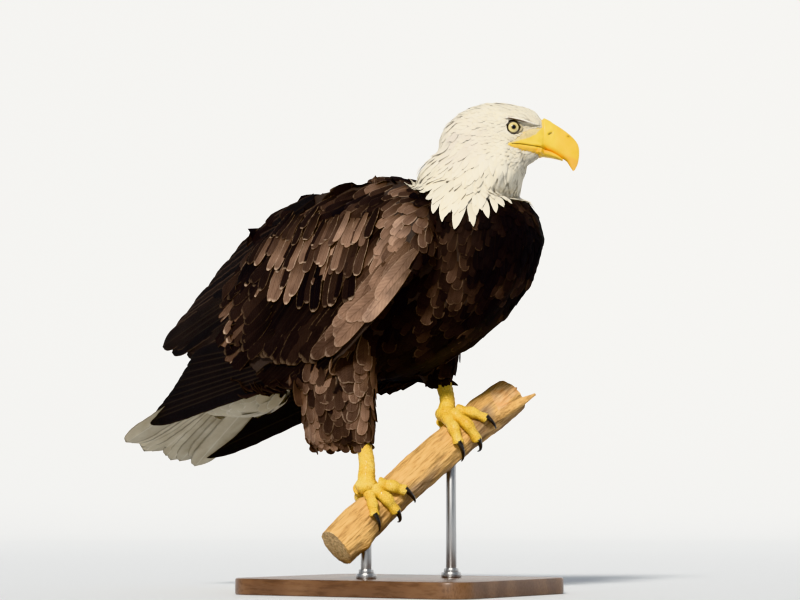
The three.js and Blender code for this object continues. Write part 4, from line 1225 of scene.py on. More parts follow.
def upper_place(u, v):
    t, size = closing(v)
    ridge_f, ridge_u, edge_f, edge_u, wide = station(BILL_UPPER, t)
    ridge, edge = head_point(ridge_f, 0, ridge_u), head_point(edge_f, 0, edge_u)
    middle = edge.lerp(ridge, 0.36)
    up = (ridge - edge).normalized()
    high = (ridge - edge).length
    a = 2 * math.pi * u
    c, s = math.cos(a), math.sin(a)
    grow = 0.0
    p = middle + (head_left * (powered(c, 0.94) * wide * MM)
                  + up * (powered(s, 0.94) * high * (0.64 if s > 0 else 0.36))) * size
    f, left, h = in_head(p)
    border = 49 - 0.12 * (h + 6) ** 2 / 10
    grow += 0.35 * float(smooth_step(1.6, -1.6, f - border)) * max(0.0, s + 0.55)
    grow -= 2.8 * float(smooth_step(37.2, 35.0, f))
    along, over = nostril_map(f, h)
    grow -= 2.6 * math.exp(-(along / 3.4) ** 4 - (over / 1.25) ** 2) * (abs(c) > 0.2)
    grow += 0.3 * math.exp(-(along / 4.6) ** 4 - (over / 2.4) ** 2) * (abs(c) > 0.2)
    outward = (head_left * c / max(wide, 2) * 10 + up * s).normalized()
    return p + outward * (grow * MM * size)


def lower_place(u, v):
    t, size = closing(v)
    f, top, bottom, wide = station(BILL_LOWER, t)
    middle = head_point(f, 0, mix(bottom, top, 0.7))
    high = (top - bottom) * MM
    size *= 1 - 0.25 * float(smooth_step(31, 27, f))
    a = 2 * math.pi * u
    c, s = math.cos(a), math.sin(a)
    return middle + (head_left * (powered(c, 0.9) * wide * MM)
                     + Vector((0, 0, powered(s, 0.9) * high * (0.3 if s > 0 else 0.7)))) * size


def paint_points(obj, colour_at):
    """Stores a colour on every point of a piece, worked out from its place."""
    data = obj.data.attributes.new("paint", "FLOAT_COLOR", "POINT")
    for v, cell in zip(obj.data.vertices, data.data):
        cell.color = (*colour_at(v.co), 1)


def painted(tree, dark_at=0.3, low=(0.8, 0.8, 0.8), high=(1.15, 1.15, 1.15), scale=120, stretch=(1, 1, 1)):
    paint = add(tree, "Attribute", attribute_name="paint").outputs["Color"]
    broad, fine = grain(tree, scale, stretch)
    return blended(tree, 1.0, paint, ramp(tree, broad, [(dark_at, low), (0.7, high)]), "MULTIPLY"), broad, fine


HORN, tree, shader = new_material("bill horn", 0.34, Coat_Weight=0.15, Subsurface_Weight=0.0)
colour, broad, fine = painted(tree, low=(0.86, 0.82, 0.74), high=(1.08, 1.06, 1.0), scale=90)
wire(tree, colour, shader, "Base Color")
wire(tree, add(tree, "MapRange", {"Value": fine, "To Min": 0.26, "To Max": 0.5}).outputs[0], shader, "Roughness")
bump(tree, shader, fine, 0.00018, 0.5)

HORN_YELLOW = np.array((0.90, 0.60, 0.075))
CERE_YELLOW = np.array((0.92, 0.68, 0.10))
HORN_PALE = np.array((0.86, 0.62, 0.20))
MOUTH_ORANGE = np.array((0.84, 0.40, 0.06))
# dark of the painted shadow in the mouth's crease, and of a real dark chip on the bill
MOUTH_SHADOW_AND_CHIP = np.array((0.16, 0.07, 0.03))


def upper_colour(p):
    f, left, h = in_head(p)
    colour = mix(HORN_YELLOW, CERE_YELLOW, float(smooth_step(60, 44, f)))
    colour = mix(colour, HORN_PALE, 0.5 * float(smooth_step(-34, -50, h)) * float(smooth_step(66, 74, f)))
    colour = mix(colour, MOUTH_ORANGE, 0.5 * float(smooth_step(4.5, 0.5, h - (-24 - 0.35 * max(0, f - 30)))))
    along, over = nostril_map(f, h)
    # the nostril slit is painted nearly black inside: painted shade in the hollow
    colour = colour * (1 - 0.95 * math.exp(-(along / 3.3) ** 4 - (over / 1.2) ** 2))
    chip = math.exp(-((f - 66.5) / 2.2) ** 2 - ((h + 9.5) / 1.6) ** 2)
    return np.clip(mix(colour, MOUTH_SHADOW_AND_CHIP, 0.7 * chip), 0, 1)


bill_upper = piece("bill_upper_horn", rolled(112, 190, upper_place), HORN, ["bill_upper"])
paint_points(bill_upper, upper_colour)
bill_lower = piece("bill_lower_horn", rolled(40, 60, lower_place), HORN, ["bill_lower"])
paint_points(bill_lower, lambda p: mix(MOUTH_ORANGE, HORN_YELLOW, float(smooth_step(-26, -32, in_head(p)[2]))))

# %% [markdown]
# The face. The fierce look comes from a bony brow that overhangs the eye, dark lids, and bare yellowish
# skin that runs from the eye to the bill and along the corner of the mouth.

# %% Eyes, lids, brows and gape
EYE_RADIUS = 9.6


def eye_place(side):
    middle = head_point(EYE[0], side * EYE[1], EYE[2])
    axis = (head_left * side + head_forward * 0.10).normalized()
    over = Vector((0, 0, 1))
    along = over.cross(axis).normalized()
    over = axis.cross(along).normalized()

    def place(u, v):
        theta = math.pi * (1 - v)
        a = 2 * math.pi * u
        bulge = 0.7 * math.exp(-(theta / 0.62) ** 4)
        r = (EYE_RADIUS + bulge) * MM
        return middle + (axis * math.cos(theta) + (along * math.cos(a) + over * math.sin(a)) * math.sin(theta)) * r
    return place, middle, axis, along, over


def iris_map(obj, middle, axis, along, over):
    """A map on the eyeball: round the pupil, and out from it."""
    layer = obj.data.uv_layers.new(name="iris")
    for face in obj.data.polygons:
        for k in face.loop_indices:
            q = (obj.data.vertices[obj.data.loops[k].vertex_index].co - middle).normalized()
            layer.uv[k].vector = (0.5 + q.dot(along) / 2, 0.5 + q.dot(over) / 2)


EYEBALL, tree, shader = new_material("eye", 0.18, Coat_Weight=1.0, Coat_Roughness=0.02, Specular_IOR_Level=0.6)
spot = add(tree, "UVMap", uv_map="iris").outputs[0]
offset = add(tree, "VectorMath", {0: spot, 1: (-0.5, -0.5, 0.0)}, operation="ADD").outputs[0]
radius = add(tree, "VectorMath", {0: offset}, operation="LENGTH").outputs["Value"]
streaks = add(tree, "TexNoise", {"Vector": add(tree, "VectorMath", {0: offset}, operation="NORMALIZE").outputs[0],
                                 "Scale": 14.0, "Detail": 3.0}).outputs[0]
wavy = maths(tree, "MULTIPLY_ADD", maths(tree, "SUBTRACT", streaks, 0.5), 0.016, radius)
iris = ramp(tree, maths(tree, "MULTIPLY", wavy, 2.0), [
    (0.0, (0.004, 0.004, 0.004)), (0.235, (0.004, 0.004, 0.004)), (0.26, (0.24, 0.17, 0.06)),
    (0.36, (0.70, 0.57, 0.22)), (0.57, (0.84, 0.74, 0.38)), (0.64, (0.34, 0.25, 0.09)), (0.68, (0.012, 0.01, 0.009)),
    (1.0, (0.02, 0.016, 0.014))])
wire(tree, blended(tree, maths(tree, "MULTIPLY", streaks, 0.35), iris, (0.2, 0.13, 0.04), "MULTIPLY"), shader,
     "Base Color")

LID, tree, shader = new_material("eyelid", 0.5)
colour, broad, fine = painted(tree, scale=300)
wire(tree, colour, shader, "Base Color")
bump(tree, shader, fine, 0.0003)


def lid_place(side):
    _, middle, axis, along, over = eye_place(side)
    centre = middle + axis * (6.1 * MM)

    def place(u, v):
        a, b = 2 * math.pi * v, 2 * math.pi * u
        high = 7.3 if math.sin(a) < 0 else 6.7
        ring = along * (math.cos(a) * 8.0 * MM) + over * (math.sin(a) * high * MM)
        out = ring.normalized()
        corner = 1 + 0.35 * abs(math.cos(a)) ** 8
        tube = 1.25 * MM
        return centre + ring * corner + out * (math.cos(b) * tube) + axis * (
            math.sin(b) * tube * 0.9 - abs(math.cos(a)) ** 2 * 0.8 * MM)
    return place


def tube_place(path, side, flat=1.0, wide=1.0):
    """A tapered tube along a path in the head's frame: forward, outward, up, radius."""
    def place(u, v):
        t, size = closing(v, 0.02, 0.98)
        f, out, up, r = station(path, t)
        f0, out0, up0, _ = station(path, max(t - 0.03, 0))
        f1, out1, up1, _ = station(path, min(t + 0.03, 1))
        way = (head_way(f1 - f0, side * (out1 - out0), up1 - up0)).normalized()
        rise = (Vector((0, 0, 1)) - way * way.z).normalized()
        across = way.cross(rise) * side
        a = 2 * math.pi * u
        return (head_point(f, side * out, up)
                + (across * (math.cos(a) * r * wide) + rise * (math.sin(a) * r * flat)) * (MM * size))
    return place


def skin_out(f, up, side):
    """How far out the skin is on one side of the head."""
    start = head_point(f, side * 70, up)
    spot = skin_tree.ray_cast(start, -head_left * side, 0.1)[0]
    return abs(in_head(spot)[1]) if spot else 20.0


LID_DARK = np.array((0.045, 0.036, 0.030))
LID_PALE = np.array((0.50, 0.42, 0.26))
BROW_TOP = np.array((0.86, 0.82, 0.74))
# dark of the painted shadow under the overhanging brow
BROW_UNDER_SHADOW = np.array((0.15, 0.10, 0.065))
LORES = np.array((0.66, 0.56, 0.34))
MOUTH = ((-4, 6, 31, 43), (-22.6, -21.8, -23.9, -27.0))
YELLOW_ABOVE = ((-4, 6, 18, 26, 32, 37), (1.5, 5, 10, 15, 22, 40))
FACE_GRID = (100, 72)
HORN_START, HORN_FLUSH = 32.0, 37.0


def mouth_up(f):
    return float(np.interp(f, *MOUTH))


def face_point(u, v):
    f = mix(FACE_FORE[0], FACE_FORE[-1], u)
    return f, mix(float(np.interp(f, FACE_FORE, FACE_BOTTOM)), float(np.interp(f, FACE_FORE, FACE_TOP)), v)


def face_relief(f, up, v):
    """Height of the bare skin over the skin of the head: folds of the gape beside the line of the mouth."""
    top, bottom = float(np.interp(f, FACE_FORE, FACE_TOP)), float(np.interp(f, FACE_FORE, FACE_BOTTOM))
    edge = min(top - up, up - bottom, f - FACE_FORE[0])
    body = mix(-1.2, 1.25, float(smooth_step(-0.5, 2.6, edge)))
    lip = float(smooth_step(-5, 10, f))
    above = up - mouth_up(f)
    body += lip * (1.2 * math.exp(-((above - 2.6) / 2.0) ** 2) + 1.0 * math.exp(-((above + 2.9) / 1.9) ** 2))
    body -= 1.25 * math.exp(-(above / 0.75) ** 2) * float(smooth_step(-6, -3, f))
    body += 0.18 * noise.noise(Vector((f * 0.9, up * 0.9, 3)))
    return body * (1 - float(smooth_step(HORN_START, HORN_FLUSH, f))) - 1.6 * float(smooth_step(36.6, 38.6, f))


def horn_out(up, side):
    """How far out the horn of the bill is just in front of its base, at one height."""
    spots = [tree.ray_cast(head_point(38.4, side * 70, up), -head_left * side, 0.1)[0] for tree in horn_trees]
    reached = [abs(in_head(spot)[1]) for spot in spots if spot]
    return max(reached) if reached else 11.0


def face_out(f, up, side):
    near = skin_out(min(f, HORN_START), up, side)
    return mix(near, horn_out(up, side), float(smooth_step(HORN_START, HORN_FLUSH, f)))


def face_sheet(side):
    """A sheet of bare skin from the corner of the mouth to the bill, on one side."""
    wide, high = FACE_GRID
    outs = np.array([[face_out(*face_point(i / wide, j / high), side) for j in range(high + 1)]
                     for i in range(wide + 1)])
    for _ in range(10):
        padded = np.pad(outs, 1, mode="edge")
        outs = (padded[:-2, 1:-1] + padded[2:, 1:-1] + padded[1:-1, :-2] + padded[1:-1, 2:] + 2 * outs) / 6
    bm = bmesh.new()
    bmesh.ops.create_grid(bm, x_segments=wide, y_segments=high, size=1)
    for v in bm.verts:
        i, j = round((v.co.x + 1) / 2 * wide), round((v.co.y + 1) / 2 * high)
        f, up = face_point(i / wide, j / high)
        v.co = head_point(f, side * (outs[i, j] + face_relief(f, up, j / high)), up)
    bmesh.ops.recalc_face_normals(bm, faces=bm.faces)
    if sum(face.normal.dot(head_left * side) for face in bm.faces) < 0:
        bmesh.ops.reverse_faces(bm, faces=bm.faces)
    bmesh.ops.solidify(bm, geom=bm.faces[:], thickness=1.6 * MM)
    return bm


def face_colour(p):
    f, left, up = in_head(p)
    above = up - mouth_up(f)
    mottle = 0.5 + 0.5 * noise.noise(Vector((f * 0.35, up * 0.35, 5)))
    lores = mix(LORES * 0.78, LORES * 1.15, mottle)
    yellow_top = float(np.interp(f, *YELLOW_ABOVE))
    yellow = float(smooth_step(yellow_top + 1.2, yellow_top - 1.2, above + 1.2 * mottle))
    colour = mix(lores, CERE_YELLOW, yellow)
    colour = mix(colour, MOUTH_ORANGE, 0.45 * float(smooth_step(-1.0, -3.0, above)))
    # a dark line along the mouth: painted shadow in the crease of the gape
    return mix(colour, MOUTH_SHADOW_AND_CHIP, math.exp(-(above / 0.62) ** 2) * float(smooth_step(-5.5, -3, f)))


horn_trees = [BVHTree.FromPolygons([v.co[:] for v in horn.data.vertices], [p.vertices[:] for p in horn.data.polygons])
              for horn in (bill_upper, bill_lower)]
eyelids, brow_shapes, faces = [], [], []
for side, name in ((-1, "right"), (1, "left")):
    place, middle, axis, along, over = eye_place(side)
    ball = piece("eyeball_" + name, rolled(48, 40, place), EYEBALL, ["eye_" + name])
    iris_map(ball, middle, axis, along, over)
    eyelids.append(rolled(14, 56, lid_place(side)))
    brow_shapes.append(rolled(16, 48, tube_place(BROW_PATH, side, 0.7, 1.5)))
    faces.append(face_sheet(side))
lids = piece("eyelids", joined(*eyelids), LID)
LID_RING = 8.4


def lid_colour(p):
    f, left, up = in_head(p)
    away = math.hypot(f - EYE[0], up - EYE[2])
    return mix(LID_DARK, LID_PALE, 0.8 * float(smooth_step(LID_RING, LID_RING + 1.2, away)))


paint_points(lids, lid_colour)
brows = piece("brow_ridges", joined(*brow_shapes), LID)


def brow_colour(p):
    f, _, up = in_head(p)
    # the underside of the brow ridge is painted dark: painted shadow under the overhanging brow
    under = float(smooth_step(1.0, -0.4, up - (8.0 - 0.22 * f)))
    return mix(BROW_TOP, BROW_UNDER_SHADOW, under * float(smooth_step(-11, -7, f)) * float(smooth_step(22, 8, f)))


paint_points(brows, brow_colour)
face_skin = piece("face_skin", joined(*faces), HORN)
paint_points(face_skin, face_colour)

# %% [markdown]
# The perch. A branch is round but never even: its bark runs in long ridges, its lower end is sawn and
# its upper end is torn. The roll of a grid along the axis is pushed in and out by noise.

# %% Perch
PERCH_MIDDLE = Vector((25, 0, 149))
PERCH_ALONG = Vector((0.3503, 0.7164, 0.6034)).normalized()
PERCH_RADIUS = 23.5
PERCH_ENDS = (-146, 172)
perch_up = (Vector((0, 0, 1)) - PERCH_ALONG * PERCH_ALONG.z).normalized()
perch_fore = PERCH_ALONG.cross(perch_up).normalized()


def perch_axis(s):
    return PERCH_MIDDLE + PERCH_ALONG * s - perch_up * (4 * (s / 150) ** 2)


def perch_way(angle):
    a = math.radians(angle)
    return perch_up * math.cos(a) + perch_fore * math.sin(a)


def perch_point(s, angle, out):
    return perch_axis(s) + perch_way(angle) * out


def bark_rise(a, s):
    """Height of the bark at an angle and a place along the branch, in millimetres."""
    q = Vector((math.cos(a) * 3.1, math.sin(a) * 3.1, s * 0.022))
    ridges = noise.fractal(q * 1.3, 1.0, 2.1, 4)
    flakes = noise.noise(Vector((math.cos(a) * 1.6, math.sin(a) * 1.6, s * 0.05 + 9)))
    rings = 0.25 * math.sin(s * 0.21 + 2 * noise.noise(Vector((0, 0, s * 0.05))))
    return 1.5 * ridges + 1.0 * max(0.0, flakes) + rings


def perch_place(u, v):
    t, size = closing(v, 0.03, 0.93)
    s = mix(*PERCH_ENDS, t)
    i = 8 * t
    swell = 1 + 0.035 * math.sin(i * 1.9) + 0.03 * math.cos(i * 0.9)
    a = 2 * math.pi * u
    r = PERCH_RADIUS * swell + bark_rise(a, s)
    for knot_s, knot_a, high in ((-118, 2.4, 4.0), (-20, 4.1, 3.0), (128, 5.2, 4.5)):
        away = (s - knot_s) ** 2 / 90 + (1 - math.cos(a - knot_a)) * 9
        r += high * math.exp(-away)
    p = perch_axis(s) + (perch_up * math.cos(a) + perch_fore * math.sin(a)) * (r * size)
    if v > 0.93:
        tear = noise.noise(Vector((math.cos(a) * 4.0 * size, math.sin(a) * 4.0 * size, 3.0)))
        p += PERCH_ALONG * (9.0 * tear + 6.0 * (1 - size) - 4)
    elif v < 0.03:
        p -= PERCH_ALONG * (0.8 * (1 - size))
    return p * MM


SPUR_FOOT = perch_point(112, 118, 8)
SPUR_WAY = Vector((0.72, 0.28, 0.42)).normalized()
spur_high = (Vector((0, 0, 1)) - SPUR_WAY * SPUR_WAY.z).normalized()
spur_wide = SPUR_WAY.cross(spur_high)


def spur_place(u, v):
    t, size = closing(v, 0.03, 0.985)
    r = station([(9.5,), (8.4,), (7,), (5,), (1.6,)], t)[0]
    a = 2 * math.pi * u
    r *= 1 + 0.16 * noise.noise(Vector((math.cos(a) * 2, math.sin(a) * 2, t * 2.5)))
    centre = SPUR_FOOT + SPUR_WAY * (76 * t)
    return (centre + (spur_wide * math.cos(a) + spur_high * math.sin(a)) * (r * size)) * MM


def along_perch(p):
    q = p / MM - PERCH_MIDDLE
    return q.dot(PERCH_ALONG), q.dot(perch_up), q.dot(perch_fore)


def store_lie(obj, lie_at):
    """Stores on every point a place in which the branch is straight and drawn short."""
    data = obj.data.attributes.new("lie", "FLOAT_VECTOR", "POINT")
    for v, cell in zip(obj.data.vertices, data.data):
        cell.vector = lie_at(v.co)


BARK, tree, shader = new_material("bark", 0.8)
paint = add(tree, "Attribute", attribute_name="paint").outputs["Color"]
lie = add(tree, "Attribute", attribute_name="lie").outputs["Vector"]
streak = add(tree, "TexNoise", {"Vector": lie, "Scale": 9.0, "Detail": 5.0, "Roughness": 0.62}).outputs[0]
blotch = add(tree, "TexNoise", {"Vector": lie, "Scale": 2.2, "Detail": 3.0}).outputs[0]
pits = add(tree, "TexVoronoi", {"Vector": lie, "Scale": 7.0}, feature="F1").outputs[0]
worn_bark = blended(tree, 1.0, paint, ramp(tree, streak, [(0.32, (0.66, 0.58, 0.5)), (0.6, (1.12, 1.1, 1.05))]),
                    "MULTIPLY")
worn_bark = blended(tree, 0.7, worn_bark, ramp(tree, blotch, [(0.35, (0.72, 0.66, 0.6)), (0.6, (1.1, 1.1, 1.08))]),
                    "MULTIPLY")
worn_bark = blended(tree, 0.75, worn_bark, ramp(tree, pits, [(0.05, (0.35, 0.27, 0.2)), (0.13, (1, 1, 1))]), "MULTIPLY")
wire(tree, worn_bark, shader, "Base Color")
bump(tree, shader, maths(tree, "MULTIPLY_ADD", blotch, 0.8, streak), 0.0022, 0.9)

# tan is also the painted sunlit top of the branch, grey its painted shaded underside
BARK_TAN, BARK_GREY = np.array((0.66, 0.42, 0.17)), np.array((0.33, 0.225, 0.135))
TORN_ORANGE, SAWN = np.array((0.62, 0.26, 0.06)), np.array((0.70, 0.52, 0.30))


def perch_colour(p):
    s, up, fore = along_perch(p)
    out = math.hypot(up, fore)
    a = math.atan2(fore, up)
    rise = bark_rise(a, s)
    patch = noise.noise(Vector((math.cos(a) * 1.4, math.sin(a) * 1.4, s * 0.03 + 4)))
    # the top of the branch is painted tan and its underside grey: painted sunlight and shade, over patchy bark
    colour = mix(BARK_GREY, BARK_TAN, float(smooth_step(-0.7, 0.3, patch + 0.2 * rise + 0.7 * math.cos(a))))
    if s > PERCH_ENDS[1] - 12 and out < 20:
        colour = mix(TORN_ORANGE, SAWN, 0.5 + 0.5 * noise.noise(p * 260))
    if s < PERCH_ENDS[0] + 1 and out < 22.5:
        colour = mix(SAWN, SAWN * 0.62, 0.5 + 0.5 * math.sin(out * 3.2 + 0.8 * noise.noise(p * 60)))
    return np.clip(colour, 0, 1)


perch = piece("perch_branch", joined(rolled(120, 260, perch_place), rolled(28, 60, spur_place)), BARK,
              ["perch"], flat_over=60)
def on_spur(p):
    return (p / MM - SPUR_FOOT).dot(SPUR_WAY) > 26 and along_perch(p)[1:] >= (0, 0)


paint_points(perch, lambda p: mix(SAWN, TORN_ORANGE, 0.4 + 0.4 * noise.noise(p * 120)) if on_spur(p)
             else perch_colour(p))
store_lie(perch, lambda p: Vector((along_perch(p)[0] * 0.006, along_perch(p)[1] * 0.045, along_perch(p)[2] * 0.045)))

# %% [markdown]
# The feet. Toes wrap the branch, so each is rolled along the branch's own angle. Broad scutes cross
# the tops of toes and shank like tiles, pads swell beneath, and each toe ends in a long curved claw.

# %% Feet
LEGS = {
    "right": {"side": -1, "foot": -68, "grip": 4,
              "tarsus": [(-34, -65, 222, 12), (-17, -64, 192, 10.2), (-8, -63, 166, 9.6)]},
    "left": {"side": 1, "foot": 83, "grip": -14,
             "tarsus": [(6, 61, 290, 12), (25, 60, 264, 10.4), (35, 55, 242, 9.6)]},
}
TOES = {1: (0, 2, -34, -92, 1.08, 40), 2: (-9, -27, 26, 82, 1.0, 36), 3: (0, -2, 28, 106, 0.96, 33),
        4: (9, 25, 26, 78, 0.88, 29)}
TOE_RADIUS = 7.6


def tiles(t, count, sharp=0.55):
    return abs(math.sin(math.pi * count * t)) ** sharp


def toe_place(leg, number):
    root_shift, tip_shift, start, end, scale, _ = TOES[number]
    turn = 1 if leg["side"] < 0 else -1

    def row(w):
        along = leg["foot"] - turn * mix(root_shift, tip_shift, w)
        wrap = leg["grip"] * (1 - w) + mix(start, end, w)
        r = TOE_RADIUS * scale * mix(1.12, 0.84, w) * (1 + 0.1 * math.cos(w * 4 * math.pi))
        return perch_point(along, wrap, PERCH_RADIUS + r * 0.86), r, perch_way(wrap)

    def place(u, v):
        t, size = closing(v, 0.04, 0.95)
        centre, r, top = row(t)
        way = (row(min(t + 0.02, 1))[0] - row(max(t - 0.02, 0))[0]).normalized()
        top = (top - way * top.dot(way)).normalized()
        across = way.cross(top)
        a = 2 * math.pi * u
        c, s = math.cos(a), math.sin(a)
        r += 0.55 * max(0.0, c) ** 0.6 * (tiles(t, 13) - 0.5) + 0.7 * max(0.0, -c) * (tiles(t, 4) - 0.3)
        r += 0.25 * noise.noise(Vector((t * 30, a * 3, number)))
        return (centre + (top * c + across * s * 0.96) * (r * math.sqrt(max(size, 0.0)))) * MM
    return place


def claw_place(leg, number):
    root_shift, tip_shift, _, end, scale, long = TOES[number]
    turn = 1 if leg["side"] < 0 else -1
    sign = -1 if number == 1 else 1
    spread = (tip_shift - root_shift) * 0.35

    def row(w):
        wrap = end + sign * (w * long * 1.5 - 4)
        r = mix(4.9 * scale, 0.7, w**0.8)
        lift = 6.6 + 5.5 * math.sin(math.pi * (0.12 + 0.62 * w)) - 5.6 * w
        return perch_point(leg["foot"] - turn * (tip_shift + spread * w), wrap, PERCH_RADIUS + lift), r, perch_way(wrap)

    def place(u, v):
        t, size = closing(v, 0.03, 0.985)
        centre, r, top = row(t)
        way = (row(min(t + 0.02, 1))[0] - row(max(t - 0.02, 0))[0]).normalized()
        top = (top - way * top.dot(way)).normalized()
        across = way.cross(top)
        a = 2 * math.pi * u
        c, s = math.cos(a), math.sin(a)
        groove = 1 - 0.14 * max(0.0, -c) ** 3
        return (centre + (top * c * 1.08 * groove + across * s * 0.86) * (r * size)) * MM
    return place


def shank_place(leg):
    palm = perch_point(leg["foot"], leg["grip"], PERCH_RADIUS + 9)
    rows = list(leg["tarsus"])
    ankle = rows[-1]
    rows.append((mix(ankle[0], palm.x, 0.75), mix(ankle[1], palm.y, 0.75), mix(ankle[2], palm.z, 0.75), 11))
    rows.append((palm.x, palm.y, palm.z, 12.5))

    def place(u, v):
        t, size = closing(v, 0.02, 0.96)
        x, y, z, r = station(rows, t)
        a0, a1 = station(rows, max(t - 0.02, 0)), station(rows, min(t + 0.02, 1))
        way = Vector(a1[:3] - a0[:3]).normalized()
        fore = Vector((1, 0, 0))
        fore = (fore - way * way.dot(fore)).normalized()
        across = way.cross(fore)
        a = 2 * math.pi * u
        c, s = math.cos(a), math.sin(a)
        r += 0.7 * max(0.0, c) ** 0.5 * (tiles(t, 15) - 0.6)
        r += 0.45 * (1 - max(0.0, c)) * noise.cell(Vector((math.cos(a) * 3, math.sin(a) * 3, t * 22)))
        return (Vector((x, y, z)) + (fore * c + across * s) * (r * size)) * MM
    return place


def pad_place(leg):
    palm = perch_point(leg["foot"], leg["grip"], PERCH_RADIUS + 9)

    def place(u, v):
        theta, a = math.pi * v, 2 * math.pi * u
        q = Vector((math.sin(theta) * math.cos(a), math.sin(theta) * math.sin(a), math.cos(theta)))
        rough = 1 + 0.05 * noise.noise(q * 5)
        return (palm + Vector((q.x * 14.5, q.y * 14, q.z * 11)) * rough) * MM
    return place


FOOT_SKIN, tree, shader = new_material("scaled skin", 0.5, Coat_Weight=0.1)
place_on = add(tree, "TexCoord").outputs["Object"]
cells = add(tree, "TexVoronoi", {"Vector": place_on, "Scale": 420.0}, feature="DISTANCE_TO_EDGE").outputs[0]
broad, fine = grain(tree, 70)
yellow = ramp(tree, broad, [(0.25, (0.78, 0.46, 0.06)), (0.5, (0.88, 0.60, 0.10)), (0.8, (0.92, 0.72, 0.22))])
creases = ramp(tree, cells, [(0.0, (0.45, 0.3, 0.16)), (0.1, (1, 1, 1))])
dirt = ramp(tree, fine, [(0.35, (0.6, 0.5, 0.4)), (0.55, (1, 1, 1))])
wire(tree, blended(tree, 0.3, blended(tree, 0.7, yellow, creases, "MULTIPLY"), dirt, "MULTIPLY"), shader, "Base Color")
bump(tree, shader, ramp(tree, cells, [(0.0, (0, 0, 0)), (0.16, (1, 1, 1))]), 0.0005, 0.8)

CLAW, tree, shader = new_material("claw horn", 0.25, Coat_Weight=0.3)
broad, fine = grain(tree, 160)
wire(tree, ramp(tree, broad, [(0.3, (0.008, 0.007, 0.007)), (0.7, (0.03, 0.025, 0.022))]), shader, "Base Color")
wire(tree, add(tree, "MapRange", {"Value": fine, "To Min": 0.18, "To Max": 0.42}).outputs[0], shader, "Roughness")
bump(tree, shader, fine, 0.0002, 0.5)

for name, leg in LEGS.items():
    shapes = [rolled(20, 52, toe_place(leg, n)) for n in TOES]
    shapes += [rolled(24, 90, shank_place(leg)), rolled(24, 16, pad_place(leg))]
    piece("foot_" + name, joined(*shapes), FOOT_SKIN,
          ["tarsus_" + name] + [f"toe_{n}_{name}" for n in TOES], flat_over=60)
    piece("claws_" + name, joined(*[rolled(16, 30, claw_place(leg, n)) for n in TOES]), CLAW,
          [f"claw_{n}_{name}" for n in TOES])

# %% [markdown]
# The stand. A plain walnut base with rounded corners and two steel rods, each in a turned collar. These
# are simple turned and planed shapes, so a cube and cylinders with bevels give them their softened edges.

# %% Stand
BASE_SIZE, BASE_CORNER = (0.340, 0.270, 0.020), 0.034
bm = bmesh.new()
bmesh.ops.create_cube(bm, size=1)
bmesh.ops.scale(bm, vec=BASE_SIZE, verts=bm.verts)
bmesh.ops.translate(bm, vec=(0, 0, BASE_SIZE[2] / 2), verts=bm.verts)
upright = [e for e in bm.edges if abs(e.verts[0].co.z - e.verts[1].co.z) > 0.01]
bmesh.ops.bevel(bm, geom=upright, offset=BASE_CORNER, offset_type="OFFSET", affect="EDGES", segments=14,
                profile=0.5, material=-1)
rims = [e for e in bm.edges if len(e.link_faces) == 2 and abs(e.calc_face_angle(0)) > 1.2]
bmesh.ops.bevel(bm, geom=rims, offset=0.002, offset_type="OFFSET", affect="EDGES", segments=3, profile=0.5,
                material=-1)
WALNUT, tree, shader = new_material("walnut", 0.38, Coat_Weight=0.25, Coat_Roughness=0.2)
place_on = add(tree, "TexCoord").outputs["Object"]
bent = add(tree, "TexNoise", {"Vector": place_on, "Scale": 5.0, "Detail": 2.0})
swirled = add(tree, "VectorMath", {0: add(tree, "VectorMath", {0: bent.outputs["Color"], 1: (0.05, 0.05, 0.05)},
                                          operation="MULTIPLY").outputs[0], 1: place_on}, operation="ADD").outputs[0]
bands = add(tree, "TexWave", {"Vector": swirled, "Scale": 6.0, "Distortion": 9.0, "Detail": 3.0,
                              "Detail Scale": 1.5}, wave_type="BANDS", bands_direction="Y").outputs[0]
pores = add(tree, "TexNoise", {"Vector": add(tree, "VectorMath", {0: place_on, 1: (12.0, 260.0, 60.0)},
                                             operation="MULTIPLY").outputs[0], "Scale": 4.0, "Detail": 4.0}).outputs[0]
wood = ramp(tree, bands, [(0.0, (0.115, 0.057, 0.029)), (0.5, (0.14, 0.071, 0.036)), (1.0, (0.17, 0.09, 0.046))])
wire(tree, blended(tree, 0.6, wood, ramp(tree, pores, [(0.35, (0.45, 0.4, 0.36)), (0.55, (1, 1, 1))]), "MULTIPLY"),
     shader, "Base Color")
wire(tree, add(tree, "MapRange", {"Value": pores, "To Min": 0.5, "To Max": 0.32}).outputs[0], shader, "Roughness")
bump(tree, shader, pores, 0.00025, 0.5)
piece("stand_base_board", bm, WALNUT, ["stand_base"], flat_over=35)

STEEL, tree, shader = new_material("brushed steel", 0.3, Metallic=1.0)
brushed = add(tree, "TexNoise", {"Vector": add(tree, "VectorMath", {
    0: add(tree, "TexCoord").outputs["Object"], 1: (300.0, 300.0, 6.0)}, operation="MULTIPLY").outputs[0],
    "Scale": 5.0, "Detail": 3.0}).outputs[0]
wire(tree, ramp(tree, brushed, [(0.3, (0.42, 0.43, 0.44)), (0.7, (0.62, 0.62, 0.62))]), shader, "Base Color")
wire(tree, add(tree, "MapRange", {"Value": brushed, "To Min": 0.22, "To Max": 0.42}).outputs[0], shader, "Roughness")
bump(tree, shader, brushed, 0.00008, 0.4)


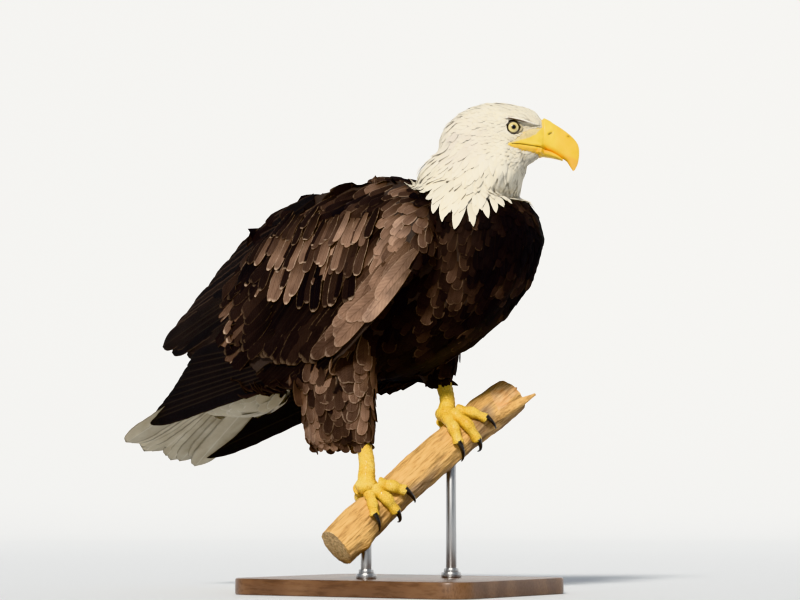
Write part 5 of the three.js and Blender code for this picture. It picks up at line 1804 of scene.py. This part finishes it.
def turned(radius, low, high, x, y, soft):
    """A cylinder with softened rims."""
    bm = bmesh.new()
    bmesh.ops.create_cone(bm, cap_ends=True, segments=40, radius1=radius, radius2=radius, depth=high - low)
    bmesh.ops.translate(bm, vec=(x, y, (low + high) / 2), verts=bm.verts)
    rims = [e for e in bm.edges if e.calc_face_angle(0) > 1.2]
    bmesh.ops.bevel(bm, geom=rims, offset=soft, offset_type="OFFSET", affect="EDGES", segments=2, profile=0.5,
                    material=-1)
    return bm


for spot, name in ((-92, "low"), (62, "high")):
    top = perch_axis(spot) * MM
    piece("stand_rod_" + name + "_turned", joined(
        turned(0.0065, 0.0202, top.z - 0.008, top.x, top.y, 0.0004),
        turned(0.0125, 0.0201, 0.0265, top.x, top.y, 0.0008),
        turned(0.0092, 0.0255, 0.0315, top.x, top.y, 0.0008)), STEEL, ["stand_rod_" + name],
        flat_over=35)

# %% Floor, light and camera
def sweep_place(u, v):
    reach = 9.0 * v
    rise = 0.0 if reach < 5.5 else 0.35 * (reach - 5.5) ** 2
    a = 2 * math.pi * u
    return Vector((reach * math.cos(a), reach * math.sin(a), rise))


floor_bm = rolled(96, 36, sweep_place)
for face in floor_bm.faces:
    if face.normal.z < 0:
        face.normal_flip()
floor_mesh = bpy.data.meshes.new("floor")
floor_bm.to_mesh(floor_mesh)
floor_bm.free()
floor_mesh.shade_smooth()
FLOOR, floor_nodes, floor_shader = new_material("pale floor", 0.85)
floor_shader.inputs["Base Color"].default_value = (0.72, 0.73, 0.74, 1)
floor_mesh.materials.append(FLOOR)
floor = bpy.data.objects.new("floor", floor_mesh)
bpy.context.collection.objects.link(floor)

AIM = Vector((0, 0, 0.365))
AZIMUTH, ELEVATION, DISTANCE = math.radians(33), math.radians(-5), 3.0
back = Vector((math.sin(AZIMUTH) * math.cos(ELEVATION), -math.cos(AZIMUTH) * math.cos(ELEVATION),
               math.sin(ELEVATION)))
camera_data = bpy.data.cameras.new("camera")
camera_data.lens = 108
camera_data.sensor_width = 36
camera = bpy.data.objects.new("camera", camera_data)
bpy.context.collection.objects.link(camera)
camera.location = AIM + back * DISTANCE
camera.rotation_euler = (-back).to_track_quat("-Z", "Y").to_euler()
bpy.context.scene.camera = camera

camera_right = Vector((math.cos(AZIMUTH), math.sin(AZIMUTH), 0))


toward_camera = Vector((back.x, back.y, 0)).normalized()
sun = bpy.data.lights.new("key", "SUN")
sun.energy, sun.angle, sun.color = 4.2, math.radians(9), (1.0, 0.95, 0.87)
key = bpy.data.objects.new("key", sun)
bpy.context.collection.objects.link(key)
key_from = toward_camera * 1.0 - camera_right * 0.25 + Vector((0, 0, 0.66))
key.rotation_euler = (-key_from).to_track_quat("-Z", "Y").to_euler()
world = bpy.data.worlds.new("studio")
bpy.context.scene.world = world
world.use_nodes = True
world.node_tree.nodes["Background"].inputs[0].default_value = (0.72, 0.8, 0.9, 1)
world.node_tree.nodes["Background"].inputs[1].default_value = 0.45
bpy.context.scene.view_settings.view_transform = "Khronos PBR Neutral"
